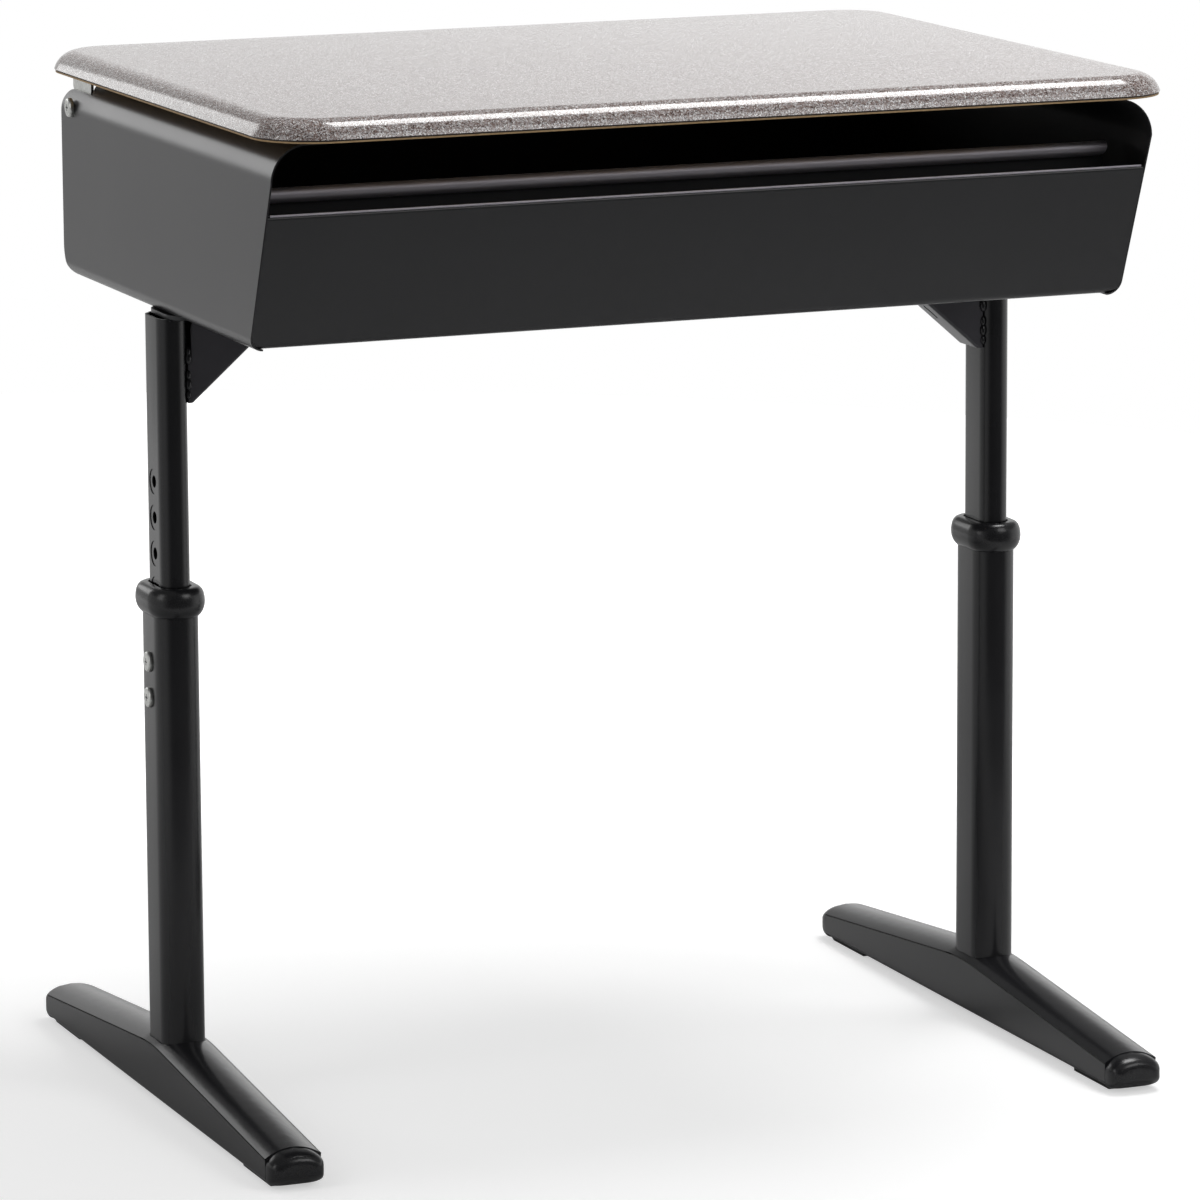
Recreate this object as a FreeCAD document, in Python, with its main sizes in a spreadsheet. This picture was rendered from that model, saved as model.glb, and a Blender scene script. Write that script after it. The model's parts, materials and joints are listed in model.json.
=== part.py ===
import FreeCAD, Part
import math
import os
import Sketcher

# School desk with a lift lid: a speckled top hinged over a sheet steel book box,
# carried by two legs of telescoping flat-sided tube on arched channel feet.
# Millimetres. X runs to the sitter's right, Y to the back, Z up; the floor is Z = 0 and the
# origin is the middle of the desk's outline on the floor. The sitter is on the -Y side.

os.makedirs("parts", exist_ok=True)
doc = FreeCAD.newDocument("SchoolDesk")
Vector = FreeCAD.Vector

# ----------------------------------------------------------------------------------------
# Driving dimensions
# ----------------------------------------------------------------------------------------

SIZES = {
    # lid
    "lid_length": 660.4,
    "lid_depth": 508.0,
    "lid_front_reach": 267.0,
    "lid_underside": 708.5,
    "lid_panel_thickness": 13.0,
    "lid_backer_thickness": 2.2,
    "lid_corner_radius": 45.0,
    "lid_edge_radius": 18.0,
    "lid_backer_inset": 0.9,
    # book box
    "lid_side_overhang": 8.2,
    "lid_front_overhang": 39.0,
    "lid_rear_overhang": 27.0,
    "box_depth": 146.5,
    "box_front_lean": 39.0,
    "front_gap_height": 51.5,
    "sheet_gauge": 1.2,
    "side_bottom_bend": 10.0,
    "side_bottom_flange": 26.0,
    "side_roll_radius": 26.0,
    "side_roll_flange": 14.0,
    "side_roll_gap": 3.0,
    "rear_corner_radius": 22.0,
    "front_bottom_bend": 7.0,
    "front_hem_depth": 7.0,
    "front_hem_radius": 2.0,
    "back_panel_drop": 25.5,
    "back_notch_drop": 17.0,
    "back_notch_clearance": 1.5,
    "nest_clearance": 0.5,
    "side_flange_front_inset": 15.0,
    "ear_length": 55.0,
    # hinge ears and hinges
    "ear_drop": 12.5,
    "ear_corner_radius": 12.0,
    "ear_cut_lean": 17.0,
    "pivot_inset": 24.0,
    "pivot_drop": 24.0,
    "pivot_head_diameter": 14.0,
    "pivot_head_height": 3.5,
    "pivot_head_round": 2.1,
    "pivot_shank_diameter": 6.0,
    "pivot_spacer_diameter": 10.0,
    "pivot_spacer_relief": 2.3,
    "pivot_nut_diameter": 11.0,
    "pivot_nut_height": 4.0,
    "pivot_running_clearance": 0.05,
    "hinge_gauge": 2.0,
    "hinge_gap": 0.3,
    "hinge_flange_width": 24.0,
    "hinge_front_reach": 22.5,
    "hinge_rear_reach": 19.0,
    "hinge_flange_rear_reach": 2.0,
    "hinge_eye_radius": 11.0,
    "hinge_eye_front_round": 9.9,
    "hinge_eye_rear_round": 10.45,
    "hinge_eye_rise": 4.4,
    "hinge_bend_radius": 3.0,
    "hinge_toe_height": 11.0,
    "screw_hole_diameter": 4.2,
    "screw_shank_diameter": 4.0,
    "screw_head_diameter": 8.0,
    "screw_head_height": 1.8,
    "screw_head_round": 1.35,
    "screw_depth": 8.0,
    "screw_pitch": 10.0,
    "screw_side_inset": 7.5,
    "screw_setback": 8.0,
    # bumpers
    "bumper_diameter": 10.0,
    "bumper_gap": 0.3,
    "bumper_round": 0.9,
    "bumper_front_inset": 14.0,
    "bumper_rear_inset": 63.0,
    "bumper_side_inset": 30.0,
    # pencil trough
    "trough_lip_drop": 3.0,
    "trough_floor_drop": 17.0,
    "trough_front_bend": 4.0,
    "trough_depth": 47.0,
    "trough_wall_bend": 6.0,
    "trough_ridge_rise": 13.0,
    "trough_nose_depth": 9.0,
    "trough_nose_height": 9.5,
    "trough_nose_radius": 4.0,
    "trough_nose_return": 4.5,
    "trough_end_gap": 11.0,
    "trough_end_radius": 7.0,
    # legs
    "leg_inset": 8.0,
    "leg_middle": 10.0,
    "upper_tube_width": 21.4,
    "upper_tube_depth": 42.3,
    "upper_tube_wall": 1.6,
    "upper_tube_bottom": 165.0,
    "lower_tube_width": 32.0,
    "lower_tube_depth": 53.0,
    "lower_tube_wall": 2.0,
    "hole_pitch": 25.4,
    "bolt_top_drop": 34.5,
    "hole_diameter": 8.5,
    "dimple_diameter": 18.0,
    "dimple_depth": 0.5,
    "plug_flange_height": 5.0,
    "plug_insert_height": 14.0,
    "sliding_clearance": 0.35,
    # collars
    "collar_bottom": 350.5,
    "collar_height": 20.0,
    "collar_wall": 5.0,
    "collar_shoulder": 5.0,
    "collar_top_round": 8.0,
    "collar_bottom_round": 4.4,
    "collar_sleeve_length": 34.0,
    # adjusting bolts
    "bolt_hole_diameter": 8.0,
    "bolt_shank_diameter": 7.6,
    "bolt_head_diameter": 14.5,
    "bolt_head_height": 2.6,
    "bolt_head_round": 1.6,
    "bolt_top_hole": 5,
    "bolt_end_gap": 0.3,
    # leg plates and gussets
    "plate_thickness": 3.0,
    "plate_length": 97.0,
    "plate_depth": 66.0,
    "plate_outer_reach": 5.0,
    "plate_corner_radius": 6.0,
    "plate_outer_radius": 20.0,
    "gusset_reach": 68.0,
    "gusset_height": 60.0,
    "gusset_toe": 4.0,
    "gusset_width": 32.0,
    "gusset_gauge": 1.8,
    "gusset_fold_radius": 2.5,
    "gusset_relief_radius": 6.0,
    "gusset_relief_gap": 2.7,
    "gusset_relief_drop": 30.0,
    "gusset_relief_height": 2.0,
    "gusset_relief_run": 22.0,
    "gusset_slot_length": 11.0,
    "gusset_slot_width": 3.5,
    "plate_bolt_diameter": 6.0,
    "plate_bolt_head": 12.0,
    "plate_bolt_head_height": 4.0,
    "plate_bolt_nut_height": 5.0,
    "plate_bolt_spread": 49.0,
    "plate_bolt_setback": 48.0,
    # feet
    "foot_length": 512.0,
    "foot_width": 40.0,
    "foot_gauge": 2.0,
    "foot_underside": 4.0,
    "foot_side_centre_top": 43.0,
    "foot_side_tip_top": 19.0,
    "foot_bottom_bend": 3.0,
    "foot_crown_rise": 6.5,
    "foot_crown_gauge": 1.5,
    "foot_saddle_radius": 240.0,
    "foot_seam_gap": 0.3,
    "foot_tube_gap": 0.3,
    "cap_length": 14.0,
    "cap_insert": 16.0,
    "cap_insert_clearance": 0.3,
    "cap_pad_length": 60.0,
    "cap_pad_width": 30.0,
    "cap_joint_gap": 0.4,
    "cap_corner_radius": 10.0,
    "cap_top_radius": 7.0,
    "cap_toe_radius": 4.0,
    "cap_toe_lift": 9.0,
    "cap_toe_root": 2.0,
}


class Dim:
    """A length: its value and the expression that ties it to the sheet."""

    def __init__(self, value, text):
        self.value = float(value)
        self.text = text

    def __add__(self, other):
        other = as_dim(other)
        return Dim(self.value + other.value, "(" + self.text + " + " + other.text + ")")

    def __radd__(self, other):
        return as_dim(other) + self

    def __sub__(self, other):
        other = as_dim(other)
        return Dim(self.value - other.value, "(" + self.text + " - " + other.text + ")")

    def __rsub__(self, other):
        return as_dim(other) - self

    def __mul__(self, other):
        other = as_dim(other)
        return Dim(self.value * other.value, "(" + self.text + " * " + other.text + ")")

    def __rmul__(self, other):
        return as_dim(other) * self

    def __truediv__(self, other):
        other = as_dim(other)
        return Dim(self.value / other.value, "(" + self.text + " / " + other.text + ")")

    def __neg__(self):
        return Dim(-self.value, "(0 - " + self.text + ")")

    def root(self):
        return Dim(math.sqrt(self.value), "sqrt(" + self.text + ")")


def as_dim(item):
    if isinstance(item, Dim):
        return item
    if item < 0:
        return Dim(item, "(0 - " + repr(float(-item)) + ")")
    return Dim(item, repr(float(item)))


def make_sheet():
    sheet = doc.addObject("Spreadsheet::Sheet", "Sizes")
    row = 1
    for alias, value in SIZES.items():
        sheet.set("A" + str(row), alias)
        sheet.set("B" + str(row), str(value))
        sheet.setAlias("B" + str(row), alias)
        row += 1
    doc.recompute()
    return sheet


class Names:
    """The sheet's cells by name."""


size = Names()
for sheet_alias, sheet_value in SIZES.items():
    setattr(size, sheet_alias, Dim(sheet_value, "Sizes." + sheet_alias))
make_sheet()

ZERO = Dim(0, "0")
LEFT = -1
RIGHT = 1
BEYOND = 30
PAST_ARC = 1.25

# ----------------------------------------------------------------------------------------
# Sketch and feature helpers
# ----------------------------------------------------------------------------------------


def new_body(label):
    body = doc.addObject("PartDesign::Body", label)
    body.Label = label
    return body


def origin_plane(body, role):
    for feature in body.Origin.OriginFeatures:
        if feature.Role == role:
            return feature
    raise ValueError("no origin plane " + role)


def new_sketch(body, name, role, offset=None):
    """A sketch on one of the body's own planes, moved along the plane's normal."""
    sketch = body.newObject("Sketcher::SketchObject", name)
    sketch.AttachmentSupport = [(origin_plane(body, role), "")]
    sketch.MapMode = "FlatFace"
    if offset is not None:
        offset = as_dim(offset)
        sketch.AttachmentOffset = FreeCAD.Placement(Vector(0, 0, offset.value), FreeCAD.Rotation())
        sketch.setExpression("AttachmentOffset.Base.z", offset.text)
    return sketch


def add_rules(sketch, rules):
    """Adds constraints; each rule is a constraint and the Dim that drives it, or None."""
    indexes = sketch.addConstraint([rule[0] for rule in rules])
    for index, rule in zip(indexes, rules):
        if rule[1] is not None:
            sketch.setExpression("Constraints[" + str(index) + "]", rule[1].text)


def pin(rules, geometry, position, x, y):
    rules.append((Sketcher.Constraint("DistanceX", -1, 1, geometry, position, x.value), x))
    rules.append((Sketcher.Constraint("DistanceY", -1, 1, geometry, position, y.value), y))


def arc_between(start, end, centre, radius, turns_left):
    """An arc from start to end round centre; Sketcher arcs run counter-clockwise."""
    first, last = (start, end) if turns_left else (end, start)
    angle_one = math.atan2(first[1] - centre[1], first[0] - centre[0])
    angle_two = math.atan2(last[1] - centre[1], last[0] - centre[0])
    if angle_two <= angle_one:
        angle_two += 2 * math.pi
    circle = Part.Circle(Vector(centre[0], centre[1], 0), Vector(0, 0, 1), radius)
    return Part.ArcOfCircle(circle, angle_one, angle_two)


def corner_arc(before, corner, after, radius):
    """Where an arc of this radius meets the two sides at a corner."""
    ux, uy = before[0] - corner[0], before[1] - corner[1]
    vx, vy = after[0] - corner[0], after[1] - corner[1]
    ulen, vlen = math.hypot(ux, uy), math.hypot(vx, vy)
    ux, uy, vx, vy = ux / ulen, uy / ulen, vx / vlen, vy / vlen
    half = 0.5 * math.acos(max(-1.0, min(1.0, ux * vx + uy * vy)))
    reach = radius / math.tan(half)
    bx, by = ux + vx, uy + vy
    blen = math.hypot(bx, by)
    depth = radius / math.sin(half)
    start = (corner[0] + ux * reach, corner[1] + uy * reach)
    end = (corner[0] + vx * reach, corner[1] + vy * reach)
    centre = (corner[0] + bx / blen * depth, corner[1] + by / blen * depth)
    turns_left = (ux * vy - uy * vx) < 0
    return start, end, centre, turns_left


def outline(sketch, corners):
    """A closed loop of straight sides; a corner is (x, y) or (x, y, radius)."""
    corners = [tuple(as_dim(part) for part in corner) for corner in corners]
    count = len(corners)
    spots = [(corner[0].value, corner[1].value) for corner in corners]
    bends = []
    for index, corner in enumerate(corners):
        if len(corner) > 2:
            before = spots[index - 1]
            after = spots[(index + 1) % count]
            bends.append(corner_arc(before, spots[index], after, corner[2].value))
        else:
            bends.append(None)
    rules = []
    lines = []
    for index in range(count):
        following = (index + 1) % count
        start = bends[index][1] if bends[index] else spots[index]
        end = bends[following][0] if bends[following] else spots[following]
        line = Part.LineSegment(Vector(start[0], start[1], 0), Vector(end[0], end[1], 0))
        lines.append(sketch.addGeometry(line, False))
    for index, corner in enumerate(corners):
        arriving, leaving = lines[index - 1], lines[index]
        if bends[index]:
            round_corner(sketch, rules, arriving, leaving, bends[index], corner)
        else:
            rules.append((Sketcher.Constraint("Coincident", arriving, 2, leaving, 1), None))
            pin(rules, leaving, 1, corner[0], corner[1])
    add_rules(sketch, rules)


def round_corner(sketch, rules, arriving, leaving, bend, corner):
    start, end, centre, turns_left = bend
    radius = corner[2]
    arc = sketch.addGeometry(arc_between(start, end, centre, radius.value, turns_left), False)
    entry, leave = (1, 2) if turns_left else (2, 1)
    point = sketch.addGeometry(Part.Point(Vector(corner[0].value, corner[1].value, 0)), True)
    rules.append((Sketcher.Constraint("Tangent", arriving, 2, arc, entry), None))
    rules.append((Sketcher.Constraint("Tangent", arc, leave, leaving, 1), None))
    rules.append((Sketcher.Constraint("Radius", arc, radius.value), radius))
    rules.append((Sketcher.Constraint("PointOnObject", point, 1, arriving), None))
    rules.append((Sketcher.Constraint("PointOnObject", point, 1, leaving), None))
    pin(rules, point, 1, corner[0], corner[1])


def strip(sketch, corners, gauge, hand):
    """Bent sheet seen edge on: a path of (x, y) or (x, y, radius) and its thickness.

    The sheet lies to the left of the path where hand is 1 and to its right where it is -1."""
    corners = [tuple(as_dim(part) for part in corner) for corner in corners]
    spots = [(corner[0].value, corner[1].value) for corner in corners]
    count = len(spots)
    offsets = []
    for index in range(count):
        offsets.append(offset_corner(spots, index, gauge.value * hand))
    rules = []
    near, near_arcs = strip_side(sketch, spots, [c[2].value if len(c) > 2 else None for c in corners])
    far_radii = []
    for index, corner in enumerate(corners):
        if len(corner) < 3 or index in (0, count - 1):
            far_radii.append(None)
            continue
        inward = turn_of(spots[index - 1], spots[index], spots[index + 1]) * hand > 0
        far_radii.append(corner[2] - gauge if inward else corner[2] + gauge)
    far, far_arcs = strip_side(sketch, offsets, [r.value if r is not None else None for r in far_radii])
    for index in range(count):
        corner = corners[index]
        if index == 0:
            pin(rules, near[0], 1, corner[0], corner[1])
            continue
        if index == count - 1:
            pin(rules, near[-1], 2, corner[0], corner[1])
            continue
        for lines, arcs, radius in ((near, near_arcs, corner[2] if len(corner) > 2 else None),
                                    (far, far_arcs, far_radii[index])):
            arriving, leaving = lines[index - 1], lines[index]
            if radius is None:
                rules.append((Sketcher.Constraint("Coincident", arriving, 2, leaving, 1), None))
                continue
            arc, turns_left = arcs[index]
            entry, leave = (1, 2) if turns_left else (2, 1)
            rules.append((Sketcher.Constraint("Tangent", arriving, 2, arc, entry), None))
            rules.append((Sketcher.Constraint("Tangent", arc, leave, leaving, 1), None))
            rules.append((Sketcher.Constraint("Radius", arc, radius.value), radius))
        if len(corner) > 2:
            point = sketch.addGeometry(Part.Point(Vector(spots[index][0], spots[index][1], 0)), True)
            rules.append((Sketcher.Constraint("PointOnObject", point, 1, near[index - 1]), None))
            rules.append((Sketcher.Constraint("PointOnObject", point, 1, near[index]), None))
            pin(rules, point, 1, corner[0], corner[1])
        else:
            pin(rules, near[index], 1, corner[0], corner[1])
    for one, other in zip(near, far):
        rules.append((Sketcher.Constraint("Parallel", one, other), None))
        rules.append((Sketcher.Constraint("Distance", other, 1, one, gauge.value), gauge))
    for end, position in ((0, 1), (-1, 2)):
        ends = (spots[end], offsets[end])
        line = Part.LineSegment(Vector(ends[0][0], ends[0][1], 0), Vector(ends[1][0], ends[1][1], 0))
        cap = sketch.addGeometry(line, False)
        rules.append((Sketcher.Constraint("Coincident", cap, 1, near[end], position), None))
        rules.append((Sketcher.Constraint("Coincident", cap, 2, far[end], position), None))
        rules.append((Sketcher.Constraint("Perpendicular", cap, near[end]), None))
    add_rules(sketch, rules)


def turn_of(before, corner, after):
    ax, ay = corner[0] - before[0], corner[1] - before[1]
    bx, by = after[0] - corner[0], after[1] - corner[1]
    return ax * by - ay * bx


def offset_corner(spots, index, distance):
    """The point at this distance to the left of the path, at a corner or an end."""
    normals = []
    if index > 0:
        normals.append(left_normal(spots[index - 1], spots[index]))
    if index < len(spots) - 1:
        normals.append(left_normal(spots[index], spots[index + 1]))
    if len(normals) == 1:
        nx, ny = normals[0]
        return (spots[index][0] + nx * distance, spots[index][1] + ny * distance)
    sx, sy = normals[0][0] + normals[1][0], normals[0][1] + normals[1][1]
    scale = distance * 2 / (sx * sx + sy * sy)
    return (spots[index][0] + sx * scale, spots[index][1] + sy * scale)


def left_normal(start, end):
    dx, dy = end[0] - start[0], end[1] - start[1]
    length = math.hypot(dx, dy)
    return (-dy / length, dx / length)


def strip_side(sketch, spots, radii):
    """The lines and arcs along one face of a bent sheet."""
    count = len(spots)
    bends = [None] * count
    for index in range(1, count - 1):
        if radii[index] is not None:
            bends[index] = corner_arc(spots[index - 1], spots[index], spots[index + 1], radii[index])
    lines = []
    arcs = {}
    for index in range(count - 1):
        start = bends[index][1] if bends[index] else spots[index]
        end = bends[index + 1][0] if bends[index + 1] else spots[index + 1]
        line = Part.LineSegment(Vector(start[0], start[1], 0), Vector(end[0], end[1], 0))
        lines.append(sketch.addGeometry(line, False))
    for index, bend in enumerate(bends):
        if bend:
            arc = arc_between(bend[0], bend[1], bend[2], radii[index], bend[3])
            arcs[index] = (sketch.addGeometry(arc, False), bend[3])
    return lines, arcs


def obround(sketch, width, depth):
    """A flat-sided tube's section round the origin: width across the flats, depth over the rounds."""
    radius = width / 2
    reach = (depth - width) / 2
    r, f = radius.value, reach.value
    right = sketch.addGeometry(Part.LineSegment(Vector(r, -f, 0), Vector(r, f, 0)), False)
    back = sketch.addGeometry(arc_between((r, f), (-r, f), (0, f), r, True), False)
    left = sketch.addGeometry(Part.LineSegment(Vector(-r, f, 0), Vector(-r, -f, 0)), False)
    front = sketch.addGeometry(arc_between((-r, -f), (r, -f), (0, -f), r, True), False)
    rules = [
        (Sketcher.Constraint("Tangent", right, 2, back, 1), None),
        (Sketcher.Constraint("Tangent", back, 2, left, 1), None),
        (Sketcher.Constraint("Tangent", left, 2, front, 1), None),
        (Sketcher.Constraint("Tangent", front, 2, right, 1), None),
        (Sketcher.Constraint("PointOnObject", back, 3, -2), None),
        (Sketcher.Constraint("PointOnObject", front, 3, -2), None),
        (Sketcher.Constraint("DistanceY", -1, 1, back, 3, reach.value), reach),
        (Sketcher.Constraint("DistanceY", front, 3, -1, 1, reach.value), reach),
        (Sketcher.Constraint("Radius", back, radius.value), radius),
        (Sketcher.Constraint("Vertical", right), None),
    ]
    add_rules(sketch, rules)


def circle(sketch, x, y, diameter):
    x, y, diameter = as_dim(x), as_dim(y), as_dim(diameter)
    ring = Part.Circle(Vector(x.value, y.value, 0), Vector(0, 0, 1), diameter.value / 2)
    index = sketch.addGeometry(ring, False)
    rules = [(Sketcher.Constraint("Diameter", index, diameter.value), diameter)]
    pin(rules, index, 3, x, y)
    add_rules(sketch, rules)


def rectangle(sketch, low_x, low_y, high_x, high_y):
    outline(sketch, [(low_x, low_y), (high_x, low_y), (high_x, high_y), (low_x, high_y)])


def extrude(body, kind, name, sketch, length, side="One side", reversed_way=False):
    feature = body.newObject(kind, name)
    feature.Profile = sketch
    feature.SideType = side
    feature.Reversed = reversed_way
    if length is None:
        feature.Type = "ThroughAll"
    else:
        length = as_dim(length)
        feature.Length = length.value
        feature.setExpression("Length", length.text)
    sketch.Visibility = False
    doc.recompute()
    if feature.Shape.isNull() or not feature.Shape.isValid():
        raise ValueError(body.Label + ": " + name + " has no valid shape")
    return feature


def pad(body, name, sketch, length, side="One side", reversed_way=False):
    before = volume_of(body)
    feature = extrude(body, "PartDesign::Pad", name, sketch, length, side, reversed_way)
    if feature.Shape.Volume <= before:
        raise ValueError(body.Label + ": " + name + " adds nothing")
    return feature


def pocket(body, name, sketch, length=None, side="One side", reversed_way=False):
    before = volume_of(body)
    feature = extrude(body, "PartDesign::Pocket", name, sketch, length, side, reversed_way)
    if feature.Shape.Volume >= before:
        raise ValueError(body.Label + ": " + name + " cuts nothing")
    return feature


def volume_of(body):
    if body.Tip is None or body.Tip.Shape.isNull():
        return 0
    return body.Tip.Shape.Volume


def edge_names(shape, test):
    """The names of the edges that pass the test."""
    names = []
    for index, edge in enumerate(shape.Edges):
        if test(edge):
            names.append("Edge" + str(index + 1))
    return names


def fillet(body, name, base, test, radius):
    radius = as_dim(radius)
    names = edge_names(base.Shape, test)
    if not names:
        raise ValueError(body.Label + ": " + name + " finds no edge")
    feature = body.newObject("PartDesign::Fillet", name)
    feature.Base = (base, names)
    feature.Radius = radius.value
    feature.setExpression("Radius", radius.text)
    doc.recompute()
    if feature.Shape.isNull() or not feature.Shape.isValid():
        raise ValueError(body.Label + ": " + name + " has no valid shape")
    return feature


def at(value, dimension):
    return abs(value - dimension.value) < 1e-4


def lies_at_z(edge, level):
    box = edge.BoundBox
    return at(box.ZMin, level) and at(box.ZMax, level)


def place(body, x, y, z):
    x, y, z = as_dim(x), as_dim(y), as_dim(z)
    body.Placement = FreeCAD.Placement(Vector(x.value, y.value, z.value), FreeCAD.Rotation())
    body.setExpression("Placement.Base.x", x.text)
    body.setExpression("Placement.Base.y", y.text)
    body.setExpression("Placement.Base.z", z.text)


def fused(label, tools):
    """Several alike solids in one sub-part, kept apart as a compound."""
    group = doc.addObject("Part::Compound", label)
    group.Label = label
    group.Links = tools
    return group


def named(label, side):
    return label + ("_left" if side == LEFT else "_right")


nodes = []

# ----------------------------------------------------------------------------------------
# Shared places
# ----------------------------------------------------------------------------------------

lid_rear_y = size.lid_depth - size.lid_front_reach
lid_middle_y = lid_rear_y - size.lid_depth / 2
box_half = size.lid_length / 2 - size.lid_side_overhang
box_rear = lid_rear_y - size.lid_rear_overhang
front_reach = size.lid_front_reach - size.lid_front_overhang
box_bottom = size.lid_underside - size.box_depth
box_front_top = size.lid_underside - size.front_gap_height
back_panel_top = size.lid_underside - size.back_panel_drop
side_top = size.lid_underside - size.side_roll_gap
roll_start = side_top - size.side_roll_radius
ear_top = size.lid_underside - size.ear_drop
ear_front = box_rear - size.ear_length
pivot_y = box_rear - size.pivot_inset
pivot_z = size.lid_underside - size.pivot_drop
front_slope = size.box_front_lean / (box_front_top - box_bottom)
leg_x = box_half - size.leg_inset
plate_bottom = box_bottom - size.plate_thickness
collar_top = size.collar_bottom + size.collar_height
hole_top = size.collar_bottom - size.bolt_top_drop + size.hole_pitch * size.bolt_top_hole
lower_tube_top = collar_top - size.collar_shoulder
tube_seat = size.foot_underside + size.foot_gauge
beam_half = size.foot_length / 2 - size.cap_length
roll_inside = size.side_roll_radius - size.sheet_gauge
ear_rise = ear_top - roll_start
ear_inside = box_half - size.side_roll_radius + (roll_inside * roll_inside - ear_rise * ear_rise).root()
hinge_outer = ear_inside - size.hinge_gap
HOLE_COUNT = 10


def front_line(level):
    """How far the slanted front stands towards the sitter at this height."""
    return -(front_reach + (level - box_front_top) * front_slope)


# ----------------------------------------------------------------------------------------
# Lid
# ----------------------------------------------------------------------------------------


def lid_outline(sketch, inset):
    half_length = size.lid_length / 2 - inset
    half_depth = size.lid_depth / 2 - inset
    radius = size.lid_corner_radius - inset
    outline(sketch, [
        (-half_length, lid_middle_y - half_depth, radius),
        (half_length, lid_middle_y - half_depth, radius),
        (half_length, lid_middle_y + half_depth, radius),
        (-half_length, lid_middle_y + half_depth, radius),
    ])


def screw_places():
    places = []
    for side in (LEFT, RIGHT):
        for row in range(2):
            x = hinge_outer - size.screw_side_inset - size.screw_pitch * row
            places.append((side * x, pivot_y - size.screw_setback))
    return places


def screw_holes(body, name, level, depth):
    sketch = new_sketch(body, name + "_sketch", "XY_Plane", level)
    for x, y in screw_places():
        circle(sketch, x, y, size.screw_hole_diameter)
    return pocket(body, name, sketch, depth, reversed_way=True)


def make_lid_panel():
    body = new_body("lid_panel")
    bottom = size.lid_underside + size.lid_backer_thickness
    top = bottom + size.lid_panel_thickness
    radius = size.lid_edge_radius
    below_hub = radius - size.lid_panel_thickness
    bulge = radius - (radius * radius - below_hub * below_hub).root()
    depth = size.lid_panel_thickness + radius
    sketch = new_sketch(body, "panel_outline", "XY_Plane", top)
    lid_outline(sketch, -bulge)
    base = pad(body, "blank", sketch, depth, reversed_way=True)
    fillet(body, "waterfall_edge", base, lambda edge: lies_at_z(edge, top), radius)
    under = new_sketch(body, "underside_sketch", "XY_Plane", bottom)
    lid_outline(under, -bulge * 2)
    pocket(body, "underside", under, depth)
    screw_holes(body, "panel_screw_holes", bottom, size.screw_depth - size.lid_backer_thickness)
    nodes.append(body)


def make_lid_backer():
    body = new_body("lid_backer")
    sketch = new_sketch(body, "backer_outline", "XY_Plane", size.lid_underside)
    lid_outline(sketch, size.lid_backer_inset)
    pad(body, "backer", sketch, size.lid_backer_thickness)
    screw_holes(body, "backer_screw_holes", size.lid_underside, size.lid_backer_thickness)
    nodes.append(body)


# ----------------------------------------------------------------------------------------
# Hinges
# ----------------------------------------------------------------------------------------


def make_hinge_leaf(side):
    """An angle plate: its flange is screwed under the lid and its leaf turns on the pivot."""
    body = new_body(named("hinge_leaf", side))
    top = size.lid_underside
    bottom = pivot_z - size.hinge_eye_radius
    outer = side * hinge_outer
    inner = side * (hinge_outer - size.hinge_flange_width)
    front = pivot_y - size.hinge_front_reach
    rear = pivot_y + size.hinge_rear_reach
    section = new_sketch(body, "leaf_section", "XZ_Plane", -rear)
    strip(section, [
        (outer, bottom),
        (outer, top, size.hinge_bend_radius),
        (inner, top),
    ], size.hinge_gauge, -1 if side == LEFT else 1)
    pad(body, "leaf_bar", section, rear - front)
    cut = new_sketch(body, "leaf_shape", "YZ_Plane")
    toe = top - size.hinge_toe_height
    frame = [
        (front - BEYOND, bottom - BEYOND),
        (rear + BEYOND, bottom - BEYOND),
        (rear + BEYOND, top + BEYOND),
        (front - BEYOND, top + BEYOND),
    ]
    outline(cut, frame)
    eye = size.hinge_eye_radius
    outline(cut, [
        (front, top + BEYOND / 2),
        (front, toe),
        (pivot_y - eye, bottom, size.hinge_eye_front_round),
        (pivot_y + eye, bottom, size.hinge_eye_rear_round),
        (pivot_y + eye, pivot_z + size.hinge_eye_rise),
        (rear, toe),
        (rear, top + BEYOND / 2),
    ])
    pocket(body, "leaf_cut", cut, None, side="Symmetric")
    step = new_sketch(body, "flange_rear_sketch", "XY_Plane", top)
    rectangle(step, ZERO, pivot_y + size.hinge_flange_rear_reach,
              side * (hinge_outer - size.hinge_gauge), rear + BEYOND)
    pocket(body, "flange_rear", step, size.hinge_bend_radius)
    bore = new_sketch(body, "bore_sketch", "YZ_Plane")
    circle(bore, pivot_y, pivot_z, size.pivot_shank_diameter + size.pivot_running_clearance * 2)
    pocket(body, "pivot_bore", bore, None, side="Symmetric")
    screw_sketch = new_sketch(body, "screw_sketch", "XY_Plane", top - size.hinge_gauge)
    for x, y in screw_places():
        if x.value * side > 0:
            circle(screw_sketch, x, y, size.screw_hole_diameter)
    pocket(body, "screw_holes", screw_sketch, size.hinge_gauge, reversed_way=True)
    nodes.append(body)


def make_hinge_screws():
    """Pan head screws up through each hinge flange into the lid."""
    screws = []
    for index, (x, y) in enumerate(screw_places()):
        body = new_body("hinge_screw_" + str(index + 1))
        half = as_dim(1) / 2
        profile = new_sketch(body, "screw_profile", "XZ_Plane")
        head_low = -size.screw_head_height
        outline(profile, [
            (ZERO, head_low),
            (size.screw_head_diameter * half, head_low, size.screw_head_round),
            (size.screw_head_diameter * half, ZERO),
            (size.screw_shank_diameter * half, ZERO),
            (size.screw_shank_diameter * half, size.screw_depth),
            (ZERO, size.screw_depth),
        ])
        turn(body, "screw", profile)
        place(body, x, y, size.lid_underside - size.hinge_gauge)
        screws.append(body)
    nodes.append(fused("hinge_screws", screws))


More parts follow.
